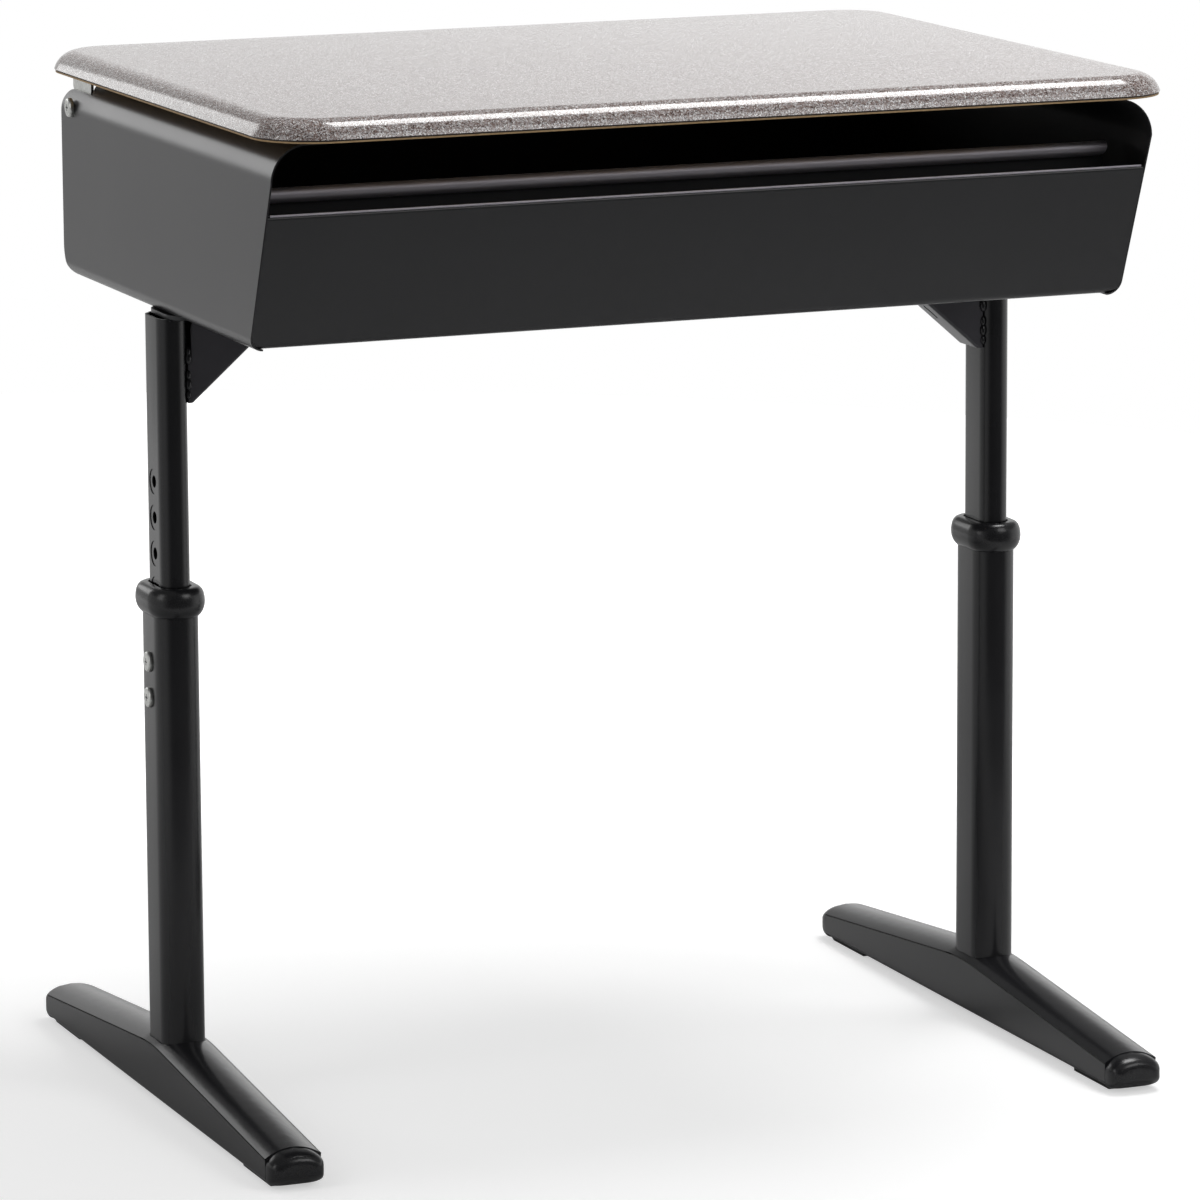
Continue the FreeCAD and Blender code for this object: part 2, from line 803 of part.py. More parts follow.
def turn(body, name, sketch):
    """A full turn of the sketch about its upright axis."""
    feature = body.newObject("PartDesign::Revolution", name)
    feature.Profile = sketch
    feature.ReferenceAxis = (sketch, ["V_Axis"])
    feature.Angle = 360
    sketch.Visibility = False
    doc.recompute()
    if feature.Shape.isNull() or not feature.Shape.isValid():
        raise ValueError(body.Label + ": " + name + " has no valid shape")
    return feature


def make_pivot_bolt(side):
    """Pivot: round head outside the ear, spacer, shank through ear and leaf, nut inside."""
    body = new_body(named("pivot_bolt", side))
    head = new_sketch(body, "head_sketch", "YZ_Plane", side * box_half)
    circle(head, ZERO, ZERO, size.pivot_head_diameter)
    base = pad(body, "head", head, size.pivot_head_height, reversed_way=(side == LEFT))
    outer = side * (box_half + size.pivot_head_height)
    fillet(body, "head_dome", base, lambda edge: at(edge.BoundBox.XMin, outer)
           and at(edge.BoundBox.XMax, outer), size.pivot_head_round)
    grip = box_half - hinge_outer + size.hinge_gauge + size.hinge_gap
    shank = new_sketch(body, "shank_sketch", "YZ_Plane", side * box_half)
    circle(shank, ZERO, ZERO, size.pivot_shank_diameter)
    pad(body, "shank", shank, grip + size.pivot_nut_height, reversed_way=(side == RIGHT))
    shoulder = hinge_outer + size.hinge_gap
    spacer = new_sketch(body, "spacer_sketch", "YZ_Plane", side * shoulder)
    circle(spacer, ZERO, ZERO, size.pivot_spacer_diameter)
    room = box_half - size.sheet_gauge - size.pivot_spacer_relief - shoulder
    pad(body, "spacer", spacer, room, reversed_way=(side == LEFT))
    nut = new_sketch(body, "nut_sketch", "YZ_Plane", side * (box_half - grip))
    circle(nut, ZERO, ZERO, size.pivot_nut_diameter)
    pad(body, "nut", nut, size.pivot_nut_height, reversed_way=(side == RIGHT))
    place(body, ZERO, pivot_y, pivot_z)
    nodes.append(body)


# ----------------------------------------------------------------------------------------
# Book box
# ----------------------------------------------------------------------------------------


def make_side_panel(side):
    """Side wall: flange and bend at the bottom, rolled in at the top, cut low at the hinge ear."""
    body = new_body(named("side_panel", side))
    hand = -1 if side == LEFT else 1
    front = front_line(roll_start)
    length = box_rear - front + BEYOND
    section = new_sketch(body, "wall_section", "XZ_Plane", -box_rear)
    strip(section, [
        (side * (box_half - size.side_bottom_flange), box_bottom),
        (side * box_half, box_bottom, size.side_bottom_bend),
        (side * box_half, side_top, size.side_roll_radius),
        (side * (box_half - size.side_roll_radius - size.side_roll_flange), side_top),
    ], size.sheet_gauge, hand)
    pad(body, "wall", section, length)
    trim = new_sketch(body, "wall_outline", "YZ_Plane")
    rear = box_rear
    low = box_bottom
    lean = size.ear_cut_lean / (side_top - ear_top)
    outline(trim, [
        (front - BEYOND * 2, low - BEYOND),
        (rear + BEYOND, low - BEYOND),
        (rear + BEYOND, side_top + BEYOND),
        (front - BEYOND * 2, side_top + BEYOND),
    ])
    outline(trim, [
        (front_line(low), low),
        (rear, low, size.rear_corner_radius),
        (rear, ear_top, size.ear_corner_radius),
        (ear_front, ear_top),
        (ear_front + (side_top - ear_top + BEYOND / 2) * lean, side_top + BEYOND / 2),
        (front, side_top + BEYOND / 2),
        (front, roll_start),
    ])
    pocket(body, "wall_trim", trim, None, side="Symmetric")
    step = new_sketch(body, "flange_front_sketch", "XY_Plane", low)
    rectangle(step, ZERO, front - BEYOND, side * (box_half - size.side_bottom_bend),
              front_line(low) + size.side_flange_front_inset)
    pocket(body, "flange_front", step, size.sheet_gauge, reversed_way=True)
    bore = new_sketch(body, "pivot_hole_sketch", "YZ_Plane")
    circle(bore, pivot_y, pivot_z, size.pivot_shank_diameter)
    pocket(body, "pivot_hole", bore, None, side="Symmetric")
    nodes.append(body)


def make_box_tray():
    """Front, bottom and back of the book box in one bent sheet between the sides."""
    body = new_body("box_tray")
    inner_half = box_half - size.sheet_gauge
    low = box_bottom + size.sheet_gauge
    section = new_sketch(body, "tray_section", "YZ_Plane", -inner_half)
    strip(section, [
        (front_line(box_front_top) + size.front_hem_depth, box_front_top),
        (front_line(box_front_top), box_front_top, size.front_hem_radius),
        (front_line(low), low, size.front_bottom_bend),
        (box_rear, low, size.rear_corner_radius - size.sheet_gauge),
        (box_rear, back_panel_top),
    ], size.sheet_gauge, 1)
    pad(body, "tray", section, inner_half * 2)
    trim = new_sketch(body, "tray_outline", "XZ_Plane")
    outline(trim, [
        (-inner_half - BEYOND, low - BEYOND),
        (inner_half + BEYOND, low - BEYOND),
        (inner_half + BEYOND, back_panel_top + BEYOND),
        (-inner_half - BEYOND, back_panel_top + BEYOND),
    ])
    corner = size.side_bottom_bend - size.sheet_gauge + size.nest_clearance
    outline(trim, [
        (-inner_half, low, corner),
        (inner_half, low, corner),
        (inner_half, back_panel_top + BEYOND / 2),
        (-inner_half, back_panel_top + BEYOND / 2),
    ])
    pocket(body, "tray_trim", trim, None, side="Symmetric")
    notch = new_sketch(body, "back_notch_sketch", "XZ_Plane", -box_rear)
    notch_side = hinge_outer - size.hinge_gauge - size.back_notch_clearance
    notch_low = back_panel_top - size.back_notch_drop
    for side in (LEFT, RIGHT):
        rectangle(notch, side * notch_side, notch_low, side * (inner_half + BEYOND),
                  back_panel_top + BEYOND)
    pocket(body, "back_notches", notch, size.sheet_gauge * 2, reversed_way=True)
    holes = new_sketch(body, "plate_bolt_sketch", "XY_Plane", box_bottom)
    for x, y in plate_bolt_places():
        circle(holes, x, y, size.plate_bolt_diameter)
    pocket(body, "plate_bolt_holes", holes, size.sheet_gauge * 3, reversed_way=True)
    nodes.append(body)


def make_pencil_trough():
    """Trough behind the front's top edge: its rear wall rises to a rolled nose."""
    body = new_body("pencil_trough")
    lean = (front_slope * front_slope + 1).root() * size.sheet_gauge
    wall = size.trough_depth - front_reach
    nose = wall - size.trough_nose_depth
    top = box_front_top + size.trough_ridge_rise
    end = box_half - size.trough_end_gap
    section = new_sketch(body, "trough_section", "YZ_Plane", -end)
    lip_top = box_front_top - size.trough_lip_drop
    floor = box_front_top - size.trough_floor_drop
    strip(section, [
        (front_line(lip_top) + lean, lip_top),
        (front_line(floor) + lean, floor, size.trough_front_bend),
        (wall, floor, size.trough_wall_bend),
        (wall, top, size.trough_nose_radius),
        (nose, top, size.trough_nose_radius),
        (nose, top - size.trough_nose_height, size.trough_nose_radius),
        (nose + size.trough_nose_return, top - size.trough_nose_height),
    ], size.sheet_gauge, 1)
    pad(body, "trough", section, end * 2)
    trim = new_sketch(body, "nose_end_sketch", "XZ_Plane", -(wall - size.sheet_gauge))
    low = top - size.trough_nose_height
    radius = size.trough_end_radius
    for side in (LEFT, RIGHT):
        outline(trim, [
            (side * (end - radius * 2), low),
            (side * end, low, radius),
            (side * end, low + radius * PAST_ARC),
            (side * (end + radius), low + radius * PAST_ARC),
            (side * (end + radius), low - radius),
            (side * (end - radius * 2), low - radius),
        ])
    pocket(body, "nose_ends", trim, size.trough_nose_depth + BEYOND, reversed_way=True)
    nodes.append(body)


def make_lid_bumpers():
    """Rubber buttons on the rolled top of each side, under the closed lid."""
    buttons = []
    height = size.side_roll_gap - size.bumper_gap
    for side in (LEFT, RIGHT):
        for y in (size.bumper_front_inset - front_reach, ear_front - size.bumper_rear_inset):
            body = new_body("bumper_" + str(len(buttons) + 1))
            sketch = new_sketch(body, "button_sketch", "XY_Plane")
            circle(sketch, ZERO, ZERO, size.bumper_diameter)
            base = pad(body, "button", sketch, height)
            fillet(body, "button_round", base, lambda edge: lies_at_z(edge, height), size.bumper_round)
            place(body, side * (box_half - size.bumper_side_inset), y, side_top)
            buttons.append(body)
    nodes.append(fused("lid_bumpers", buttons))


# ----------------------------------------------------------------------------------------
# Leg plates, gussets and their bolts
# ----------------------------------------------------------------------------------------


def plate_bolt_places():
    places = []
    for side in (LEFT, RIGHT):
        x = side * (leg_x - size.plate_bolt_setback)
        for end in (-1, 1):
            places.append((x, size.leg_middle + end * size.plate_bolt_spread / 2))
    return places


def make_leg_plate(side):
    """Steel plate under the book box; the upper tube and the gusset are welded to it."""
    body = new_body(named("leg_plate", side))
    sketch = new_sketch(body, "plate_sketch", "XY_Plane", plate_bottom)
    outer = side * (leg_x + size.plate_outer_reach)
    inner = side * (leg_x + size.plate_outer_reach - size.plate_length)
    half = size.plate_depth / 2
    radius = size.plate_corner_radius
    outline(sketch, [
        (outer, size.leg_middle - half, size.plate_outer_radius),
        (outer, size.leg_middle + half, size.plate_outer_radius),
        (inner, size.leg_middle + half, radius),
        (inner, size.leg_middle - half, radius),
    ])
    pad(body, "plate", sketch, size.plate_thickness)
    holes = new_sketch(body, "bolt_hole_sketch", "XY_Plane", plate_bottom)
    for x, y in plate_bolt_places():
        if x.value * side > 0:
            circle(holes, x, y, size.plate_bolt_diameter)
    pocket(body, "bolt_holes", holes, size.plate_thickness, reversed_way=True)
    nodes.append(body)


def make_gusset(side):
    """Folded brace: a web down the slope between two triangular cheeks."""
    body = new_body(named("gusset", side))
    tube_face = leg_x - size.upper_tube_width / 2
    tip = tube_face - size.gusset_reach
    low = plate_bottom - size.gusset_height
    top = plate_bottom
    section = new_sketch(body, "cheek_outline", "XZ_Plane")
    outline(section, [
        (side * tube_face, top),
        (side * tip, top),
        (side * tip, top - size.gusset_toe),
        (side * (tube_face - size.gusset_toe), low),
        (side * tube_face, low),
    ])
    base = pad(body, "wedge", section, size.gusset_width, side="Symmetric")
    outer_half = size.gusset_width / 2
    slope_mid = side * (tube_face + tip - size.gusset_toe) / 2

    def slope_edge(edge):
        box = edge.BoundBox
        on_side = at(abs(box.YMin), outer_half) and at(abs(box.YMax), outer_half)
        return on_side and at(box.Center.x, slope_mid)

    folded = fillet(body, "folds", base, slope_edge, size.gusset_fold_radius)
    rise = (top - size.gusset_toe - low) / (size.gusset_reach - size.gusset_toe)
    lean = (rise * rise + 1).root() * size.gusset_gauge
    hollow = new_sketch(body, "hollow_outline", "XZ_Plane")
    shift = lean / rise
    outline(hollow, [
        (side * (tube_face + BEYOND), top + BEYOND),
        (side * (tip - BEYOND + shift), top + BEYOND),
        (side * (tip - BEYOND + shift), top - size.gusset_toe + BEYOND * rise),
        (side * (tube_face - size.gusset_toe + shift + BEYOND), low - BEYOND * rise),
        (side * (tube_face + BEYOND * 2), low - BEYOND * rise),
        (side * (tube_face + BEYOND * 2), top + BEYOND),
    ])
    pocket(body, "hollow", hollow, size.gusset_width - size.gusset_gauge * 2, side="Symmetric")
    relief = new_sketch(body, "relief_sketch", "XZ_Plane")
    outline(relief, [
        (side * (tube_face + BEYOND), top + BEYOND),
        (side * (tube_face - size.gusset_relief_run), top + BEYOND),
        (side * (tube_face - size.gusset_relief_run), top - size.gusset_relief_height),
        (side * (tube_face - size.gusset_relief_gap), top - size.gusset_relief_height,
         size.gusset_relief_radius),
        (side * (tube_face - size.gusset_relief_gap), top - size.gusset_relief_drop),
        (side * (tube_face + BEYOND), top - size.gusset_relief_drop),
    ])
    pocket(body, "corner_relief", relief, None, side="Symmetric")
    slot = new_sketch(body, "slot_sketch", "XY_Plane", low)
    middle = side * (tube_face - size.gusset_reach / 2)
    half_slot = size.gusset_slot_length / 2
    half_width = size.gusset_slot_width / 2
    rectangle(slot, middle - half_slot, -half_width, middle + half_slot, half_width)
    pocket(body, "web_slot", slot, top - low - size.gusset_gauge, reversed_way=True)
    place(body, ZERO, size.leg_middle, ZERO)
    nodes.append(body)


def make_plate_bolts():
    """Bolts from under each leg plate into nuts inside the book box."""
    bolts = []
    tray_floor = box_bottom + size.sheet_gauge * 2
    half = as_dim(1) / 2
    for x, y in plate_bolt_places():
        body = new_body("plate_bolt_" + str(len(bolts) + 1))
        profile = new_sketch(body, "bolt_profile", "XZ_Plane")
        head = size.plate_bolt_head * half
        shank = size.plate_bolt_diameter * half
        outline(profile, [
            (ZERO, plate_bottom - size.plate_bolt_head_height),
            (head, plate_bottom - size.plate_bolt_head_height, size.plate_bolt_head_height * half),
            (head, plate_bottom),
            (shank, plate_bottom),
            (shank, tray_floor),
            (head, tray_floor),
            (head, tray_floor + size.plate_bolt_nut_height),
            (ZERO, tray_floor + size.plate_bolt_nut_height),
        ])
        turn(body, "bolt", profile)
        place(body, x, y, ZERO)
        bolts.append(body)
    nodes.append(fused("plate_bolts", bolts))


# ----------------------------------------------------------------------------------------
# Legs
# ----------------------------------------------------------------------------------------


def make_upper_leg(side):
    """Flat-sided tube with a row of dimpled height holes down its outer face."""
    body = new_body(named("upper_leg", side))
    height = plate_bottom - size.upper_tube_bottom
    outer = new_sketch(body, "tube_outside", "XY_Plane", size.upper_tube_bottom)
    obround(outer, size.upper_tube_width, size.upper_tube_depth)
    pad(body, "tube", outer, height)
    inner = new_sketch(body, "tube_inside", "XY_Plane", size.upper_tube_bottom)
    wall = size.upper_tube_wall * 2
    obround(inner, size.upper_tube_width - wall, size.upper_tube_depth - wall)
    pocket(body, "tube_bore", inner, None, reversed_way=True)
    way = side == RIGHT
    face = side * (size.upper_tube_width / 2 - size.dimple_depth)
    dimple_sketch = new_sketch(body, "dimple_sketch", "YZ_Plane", face)
    circle(dimple_sketch, ZERO, hole_top, size.dimple_diameter)
    dimple = pocket(body, "dimple", dimple_sketch, size.dimple_depth * 2, reversed_way=way)
    hole_sketch = new_sketch(body, "hole_sketch", "YZ_Plane")
    circle(hole_sketch, ZERO, hole_top, size.hole_diameter)
    hole = pocket(body, "height_hole", hole_sketch, size.upper_tube_width, reversed_way=way)
    row = body.newObject("PartDesign::LinearPattern", "height_holes")
    row.Originals = [dimple, hole]
    row.Direction = (hole_sketch, ["V_Axis"])
    row.Reversed = True
    row.Length = size.hole_pitch.value * (HOLE_COUNT - 1)
    row.setExpression("Length", (size.hole_pitch * (HOLE_COUNT - 1)).text)
    row.Occurrences = HOLE_COUNT
    body.Tip = row
    doc.recompute()
    place(body, side * leg_x, size.leg_middle, ZERO)
    nodes.append(body)


def make_upper_leg_plug(side):
    """Plastic guide in the end of the upper tube; its rim slides in the lower tube."""
    body = new_body(named("upper_leg_plug", side))
    low = size.upper_tube_bottom - size.plug_flange_height
    rim = new_sketch(body, "rim_sketch", "XY_Plane", low)
    slack = (size.lower_tube_wall + size.sliding_clearance) * 2
    obround(rim, size.lower_tube_width - slack, size.lower_tube_depth - slack)
    pad(body, "rim", rim, size.plug_flange_height)
    insert = new_sketch(body, "insert_sketch", "XY_Plane", size.upper_tube_bottom)
    wall = (size.upper_tube_wall + size.cap_insert_clearance) * 2
    obround(insert, size.upper_tube_width - wall, size.upper_tube_depth - wall)
    pad(body, "insert", insert, size.plug_insert_height)
    place(body, side * leg_x, size.leg_middle, ZERO)
    nodes.append(body)


def make_lower_leg(side):
    """Outer flat-sided tube, with the two bolt holes near its top."""
    body = new_body(named("lower_leg", side))
    outer = new_sketch(body, "tube_outside", "XY_Plane", tube_seat)
    obround(outer, size.lower_tube_width, size.lower_tube_depth)
    pad(body, "tube", outer, lower_tube_top - tube_seat)
    inner = new_sketch(body, "tube_inside", "XY_Plane", tube_seat)
    wall = size.lower_tube_wall * 2
    obround(inner, size.lower_tube_width - wall, size.lower_tube_depth - wall)
    pocket(body, "tube_bore", inner, None, reversed_way=True)
    holes = new_sketch(body, "bolt_hole_sketch", "YZ_Plane")
    for level in bolt_levels():
        circle(holes, ZERO, level, size.bolt_hole_diameter)
    pocket(body, "bolt_holes", holes, size.lower_tube_width, reversed_way=(side == RIGHT))
    place(body, side * leg_x, size.leg_middle, ZERO)
    nodes.append(body)


def bolt_levels():
    """The two bolts line up with neighbouring holes of the upper tube."""
    first = hole_top - size.hole_pitch * size.bolt_top_hole
    return [first, first - size.hole_pitch]


def make_collar(side):
    """Moulded collar over the lower tube's mouth, with a sleeve that guides the upper tube."""
    body = new_body(named("collar", side))
    grow = size.collar_wall * 2
    ring = new_sketch(body, "ring_sketch", "XY_Plane", size.collar_bottom)
    obround(ring, size.lower_tube_width + grow, size.lower_tube_depth + grow)
    base = pad(body, "ring", ring, size.collar_height)
    crown = fillet(body, "crown", base, lambda edge: lies_at_z(edge, collar_top),
                   size.collar_top_round)
    fillet(body, "lower_round", crown, lambda edge: lies_at_z(edge, size.collar_bottom),
           size.collar_bottom_round)
    seat = new_sketch(body, "seat_sketch", "XY_Plane", size.collar_bottom)
    slack = size.foot_tube_gap / 2
    obround(seat, size.lower_tube_width + slack, size.lower_tube_depth + slack)
    pocket(body, "tube_seat", seat, size.collar_height - size.collar_shoulder, reversed_way=True)
    sleeve = new_sketch(body, "sleeve_sketch", "XY_Plane", lower_tube_top - size.collar_sleeve_length)
    inside = size.lower_tube_wall * 2 + slack
    obround(sleeve, size.lower_tube_width - inside, size.lower_tube_depth - inside)
    pad(body, "sleeve", sleeve, size.collar_sleeve_length)
    bore = new_sketch(body, "bore_sketch", "XY_Plane", lower_tube_top - size.collar_sleeve_length)
    run = size.sliding_clearance * 2
    obround(bore, size.upper_tube_width + run, size.upper_tube_depth + run)
    pocket(body, "bore", bore, None, reversed_way=True)
    place(body, side * leg_x, size.leg_middle, ZERO)
    nodes.append(body)


def make_adjusting_bolts(side):
    """Two domed bolts through the lower tube's outer face towards the upper tube's holes."""
    bolts = []
    face = size.lower_tube_width / 2
    grip = face - size.upper_tube_width / 2 - size.bolt_end_gap
    for level in bolt_levels():
        body = new_body(named("adjusting_bolt_" + str(len(bolts) + 1), side))
        head = new_sketch(body, "head_sketch", "YZ_Plane", side * face)
        circle(head, ZERO, ZERO, size.bolt_head_diameter)
        base = pad(body, "head", head, size.bolt_head_height, reversed_way=(side == LEFT))
        outer = side * (face + size.bolt_head_height)
        fillet(body, "head_dome", base, lambda edge: at(edge.BoundBox.XMin, outer)
               and at(edge.BoundBox.XMax, outer), size.bolt_head_round)
        shank = new_sketch(body, "shank_sketch", "YZ_Plane", side * face)
        circle(shank, ZERO, ZERO, size.bolt_shank_diameter)
        pad(body, "shank", shank, grip, reversed_way=(side == RIGHT))
        place(body, side * leg_x, size.leg_middle, level)
        bolts.append(body)
    nodes.append(fused(named("adjusting_bolts", side), bolts))


# ----------------------------------------------------------------------------------------
# Feet
# ----------------------------------------------------------------------------------------

tip_fall = (size.foot_side_centre_top - size.foot_side_tip_top) / (size.foot_length / 2)


def seam_height(distance):
    """Height of the side plates' top edge at this distance from the middle of the foot."""
    return size.foot_side_centre_top - distance * tip_fall


def make_foot_beam(side):
    """Channel with deep sides in the middle that fall away to the tips."""
    body = new_body(named("foot_beam", side))
    low = size.foot_underside
    profile = new_sketch(body, "side_outline", "YZ_Plane")
    tip = seam_height(beam_half)
    outline(profile, [
        (-beam_half, low),
        (beam_half, low),
        (beam_half, tip),
        (ZERO, size.foot_side_centre_top, size.foot_saddle_radius),
        (-beam_half, tip),
    ])
    base = pad(body, "beam", profile, size.foot_width, side="Symmetric")
    half = size.foot_width / 2

    def bottom_edge(edge):
        box = edge.BoundBox
        return lies_at_z(edge, low) and at(abs(box.XMin), half) and at(abs(box.XMax), half)

    fillet(body, "bottom_bends", base, bottom_edge, size.foot_bottom_bend)
    channel = new_sketch(body, "channel_sketch", "XZ_Plane")
    inner = half - size.foot_gauge
    rectangle(channel, -inner, tube_seat, inner, size.foot_side_centre_top + BEYOND)
    pocket(body, "channel", channel, None, side="Symmetric")
    place(body, side * leg_x, size.leg_middle, ZERO)
    nodes.append(body)


def crown_section(sketch, centre, half, rise, gauge):
    """A shallow arch of sheet over the channel; the ends stand on its side plates."""
    radius = (half * half + rise * rise) / (rise * 2)
    hub = centre + rise - radius
    inside = radius - gauge
    reach = (inside * inside - (radius - rise) * (radius - rise)).root()
    h, c, u = half.value, centre.value, hub.value
    top = sketch.addGeometry(arc_between((h, c), (-h, c), (0, u), radius.value, True), False)
    low = sketch.addGeometry(arc_between((reach.value, c), (-reach.value, c), (0, u), inside.value, True), False)
    right = sketch.addGeometry(Part.LineSegment(Vector(h, c, 0), Vector(reach.value, c, 0)), False)
    left = sketch.addGeometry(Part.LineSegment(Vector(-h, c, 0), Vector(-reach.value, c, 0)), False)
    rules = [
        (Sketcher.Constraint("Coincident", top, 1, right, 1), None),
        (Sketcher.Constraint("Coincident", low, 1, right, 2), None),
        (Sketcher.Constraint("Coincident", top, 2, left, 1), None),
        (Sketcher.Constraint("Coincident", low, 2, left, 2), None),
        (Sketcher.Constraint("Coincident", top, 3, low, 3), None),
        (Sketcher.Constraint("Radius", low, inside.value), inside),
        (Sketcher.Constraint("Horizontal", right), None),
        (Sketcher.Constraint("Horizontal", left), None),
    ]
    pin(rules, top, 1, half, centre)
    pin(rules, top, 3, ZERO, hub)
    rules.append((Sketcher.Constraint("PointOnObject", top, 2, right), None))
    add_rules(sketch, rules)


def make_foot_cover(side):
    """Crowned cover over the channel, bent over the middle, with a hole for the leg tube."""
    body = new_body(named("foot_cover", side))
    gap = size.foot_seam_gap
    run = size.foot_length / 2
    tip = seam_height(run) + gap
    top = size.foot_side_centre_top + gap
    arch = new_sketch(body, "crown_sketch", "XZ_Plane", run)
    crown_section(arch, tip, size.foot_width / 2, size.foot_crown_rise, size.foot_crown_gauge)
    path = new_sketch(body, "crown_path", "YZ_Plane")
    spine(path, [
        (-run, tip),
        (ZERO, top, size.foot_saddle_radius),
        (run, tip),
    ])
    pipe = body.newObject("PartDesign::AdditivePipe", "crown")
    pipe.Profile = arch
    pipe.Spine = path
    pipe.Mode = "Standard"
    arch.Visibility = False
    path.Visibility = False
    doc.recompute()
    if pipe.Shape.isNull() or not pipe.Shape.isValid():
        raise ValueError(body.Label + ": the crown has no valid shape")
    ends = new_sketch(body, "crown_ends", "YZ_Plane")
    for end in (-1, 1):
        rectangle(ends, end * beam_half, ZERO, end * (run + BEYOND), top + BEYOND)
    pocket(body, "square_ends", ends, None, side="Symmetric")
    opening = new_sketch(body, "tube_opening", "XY_Plane")
    room = size.foot_tube_gap * 2
    obround(opening, size.lower_tube_width + room, size.lower_tube_depth + room)
    pocket(body, "leg_opening", opening, None, side="Symmetric")
    place(body, side * leg_x, size.leg_middle, ZERO)
    nodes.append(body)


def spine(sketch, corners):
    """An open path of straight runs joined by tangent arcs."""
    corners = [tuple(as_dim(part) for part in corner) for corner in corners]
    spots = [(corner[0].value, corner[1].value) for corner in corners]
    lines, arcs = strip_side(sketch, spots, [c[2].value if len(c) > 2 else None for c in corners])
    rules = []
    pin(rules, lines[0], 1, corners[0][0], corners[0][1])
    pin(rules, lines[-1], 2, corners[-1][0], corners[-1][1])
    for index in range(1, len(corners) - 1):
        arc, turns_left = arcs[index]
        entry, leave = (1, 2) if turns_left else (2, 1)
        corner = corners[index]
        point = sketch.addGeometry(Part.Point(Vector(spots[index][0], spots[index][1], 0)), True)
        rules.append((Sketcher.Constraint("Tangent", lines[index - 1], 2, arc, entry), None))
        rules.append((Sketcher.Constraint("Tangent", arc, leave, lines[index], 1), None))
        rules.append((Sketcher.Constraint("Radius", arc, corner[2].value), corner[2]))
        rules.append((Sketcher.Constraint("PointOnObject", point, 1, lines[index - 1]), None))
        rules.append((Sketcher.Constraint("PointOnObject", point, 1, lines[index]), None))
        pin(rules, point, 1, corner[0], corner[1])
    add_rules(sketch, rules)


def make_foot_cap(side, end):
    """Plastic end cap: a crowned nose, a plug into the channel and a pad under the foot."""
    label = named("foot_cap", side) + ("_front" if end < 0 else "_rear")
    body = new_body(label)
    half = size.foot_width / 2
    low = ZERO
    seam = seam_height(beam_half)
    inner = end * (beam_half + size.cap_joint_gap)
    face = new_sketch(body, "nose_sketch", "XZ_Plane", -inner)
    cap_section(face, half, low, seam, size.foot_crown_rise)
    pad(body, "nose", face, size.cap_length - size.cap_joint_gap, reversed_way=(end > 0))
    plug = new_sketch(body, "plug_sketch", "XZ_Plane", -inner)
    inside = half - size.foot_gauge - size.cap_insert_clearance
    rectangle(plug, -inside, tube_seat, inside, seam - size.cap_insert_clearance)
    pad(body, "plug", plug, size.cap_insert, reversed_way=(end < 0))
    under = new_sketch(body, "pad_sketch", "XZ_Plane", -inner)
    pad_half = size.cap_pad_width / 2
    rectangle(under, -pad_half, low, pad_half, size.foot_underside)
    pad(body, "floor_pad", under, size.cap_pad_length, reversed_way=(end < 0))
    cut_nose_profile(body, end, seam + size.foot_crown_rise)
    cut_nose_corners(body, end, half)
    place(body, side * leg_x, size.leg_middle, ZERO)
    nodes.append(body)


def cut_nose_profile(body, end, top):
    """Seen from the side the nose falls with the crown and its underside lifts to the tip."""
    tip = size.foot_length / 2
    rise = (size.cap_toe_lift - size.cap_toe_root) / size.cap_length
    heel = beam_half - size.cap_toe_root / rise
    profile = new_sketch(body, "nose_profile", "YZ_Plane")
    outline(profile, [
        (end * heel, ZERO),
        (end * tip, size.cap_toe_lift, size.cap_toe_radius),
        (end * tip, top - tip_fall * size.cap_length, size.cap_top_radius),
        (end * beam_half, top),
        (end * beam_half, top + BEYOND),
        (end * (tip + BEYOND), top + BEYOND),
        (end * (tip + BEYOND), ZERO - BEYOND),
        (end * heel, ZERO - BEYOND),
    ])
    pocket(body, "nose_round", profile, None, side="Symmetric")


def cut_nose_corners(body, end, half):
    """Seen from above the nose has rounded corners."""
    tip = size.foot_length / 2
    radius = size.cap_corner_radius
    plan = new_sketch(body, "nose_plan", "XY_Plane")
    for across in (LEFT, RIGHT):
        outline(plan, [
            (across * (half - radius * PAST_ARC), end * tip),
            (across * half, end * tip, radius),
            (across * half, end * (tip - radius * PAST_ARC)),
            (across * (half + BEYOND), end * (tip - radius * PAST_ARC)),
            (across * (half + BEYOND), end * (tip + BEYOND)),
            (across * (half - radius * PAST_ARC), end * (tip + BEYOND)),
        ])
    pocket(body, "nose_corners", plan, None, side="Symmetric")


def cap_section(sketch, half, low, seam, rise):
    """The foot's outer section: flat bottom, upright sides and a crowned top."""
    radius = (half * half + rise * rise) / (rise * 2)
    hub = seam + rise - radius
    h, b, s = half.value, low.value, seam.value
    base = sketch.addGeometry(Part.LineSegment(Vector(-h, b, 0), Vector(h, b, 0)), False)
    right = sketch.addGeometry(Part.LineSegment(Vector(h, b, 0), Vector(h, s, 0)), False)
    top = sketch.addGeometry(arc_between((h, s), (-h, s), (0, hub.value), radius.value, True), False)
    left = sketch.addGeometry(Part.LineSegment(Vector(-h, s, 0), Vector(-h, b, 0)), False)
    rules = [
        (Sketcher.Constraint("Coincident", base, 2, right, 1), None),
        (Sketcher.Constraint("Coincident", right, 2, top, 1), None),
        (Sketcher.Constraint("Coincident", top, 2, left, 1), None),
        (Sketcher.Constraint("Coincident", left, 2, base, 1), None),
        (Sketcher.Constraint("Radius", top, radius.value), radius),
    ]
    pin(rules, base, 1, -half, low)
    pin(rules, base, 2, half, low)
    pin(rules, top, 1, half, seam)
    pin(rules, top, 2, -half, seam)
    add_rules(sketch, rules)


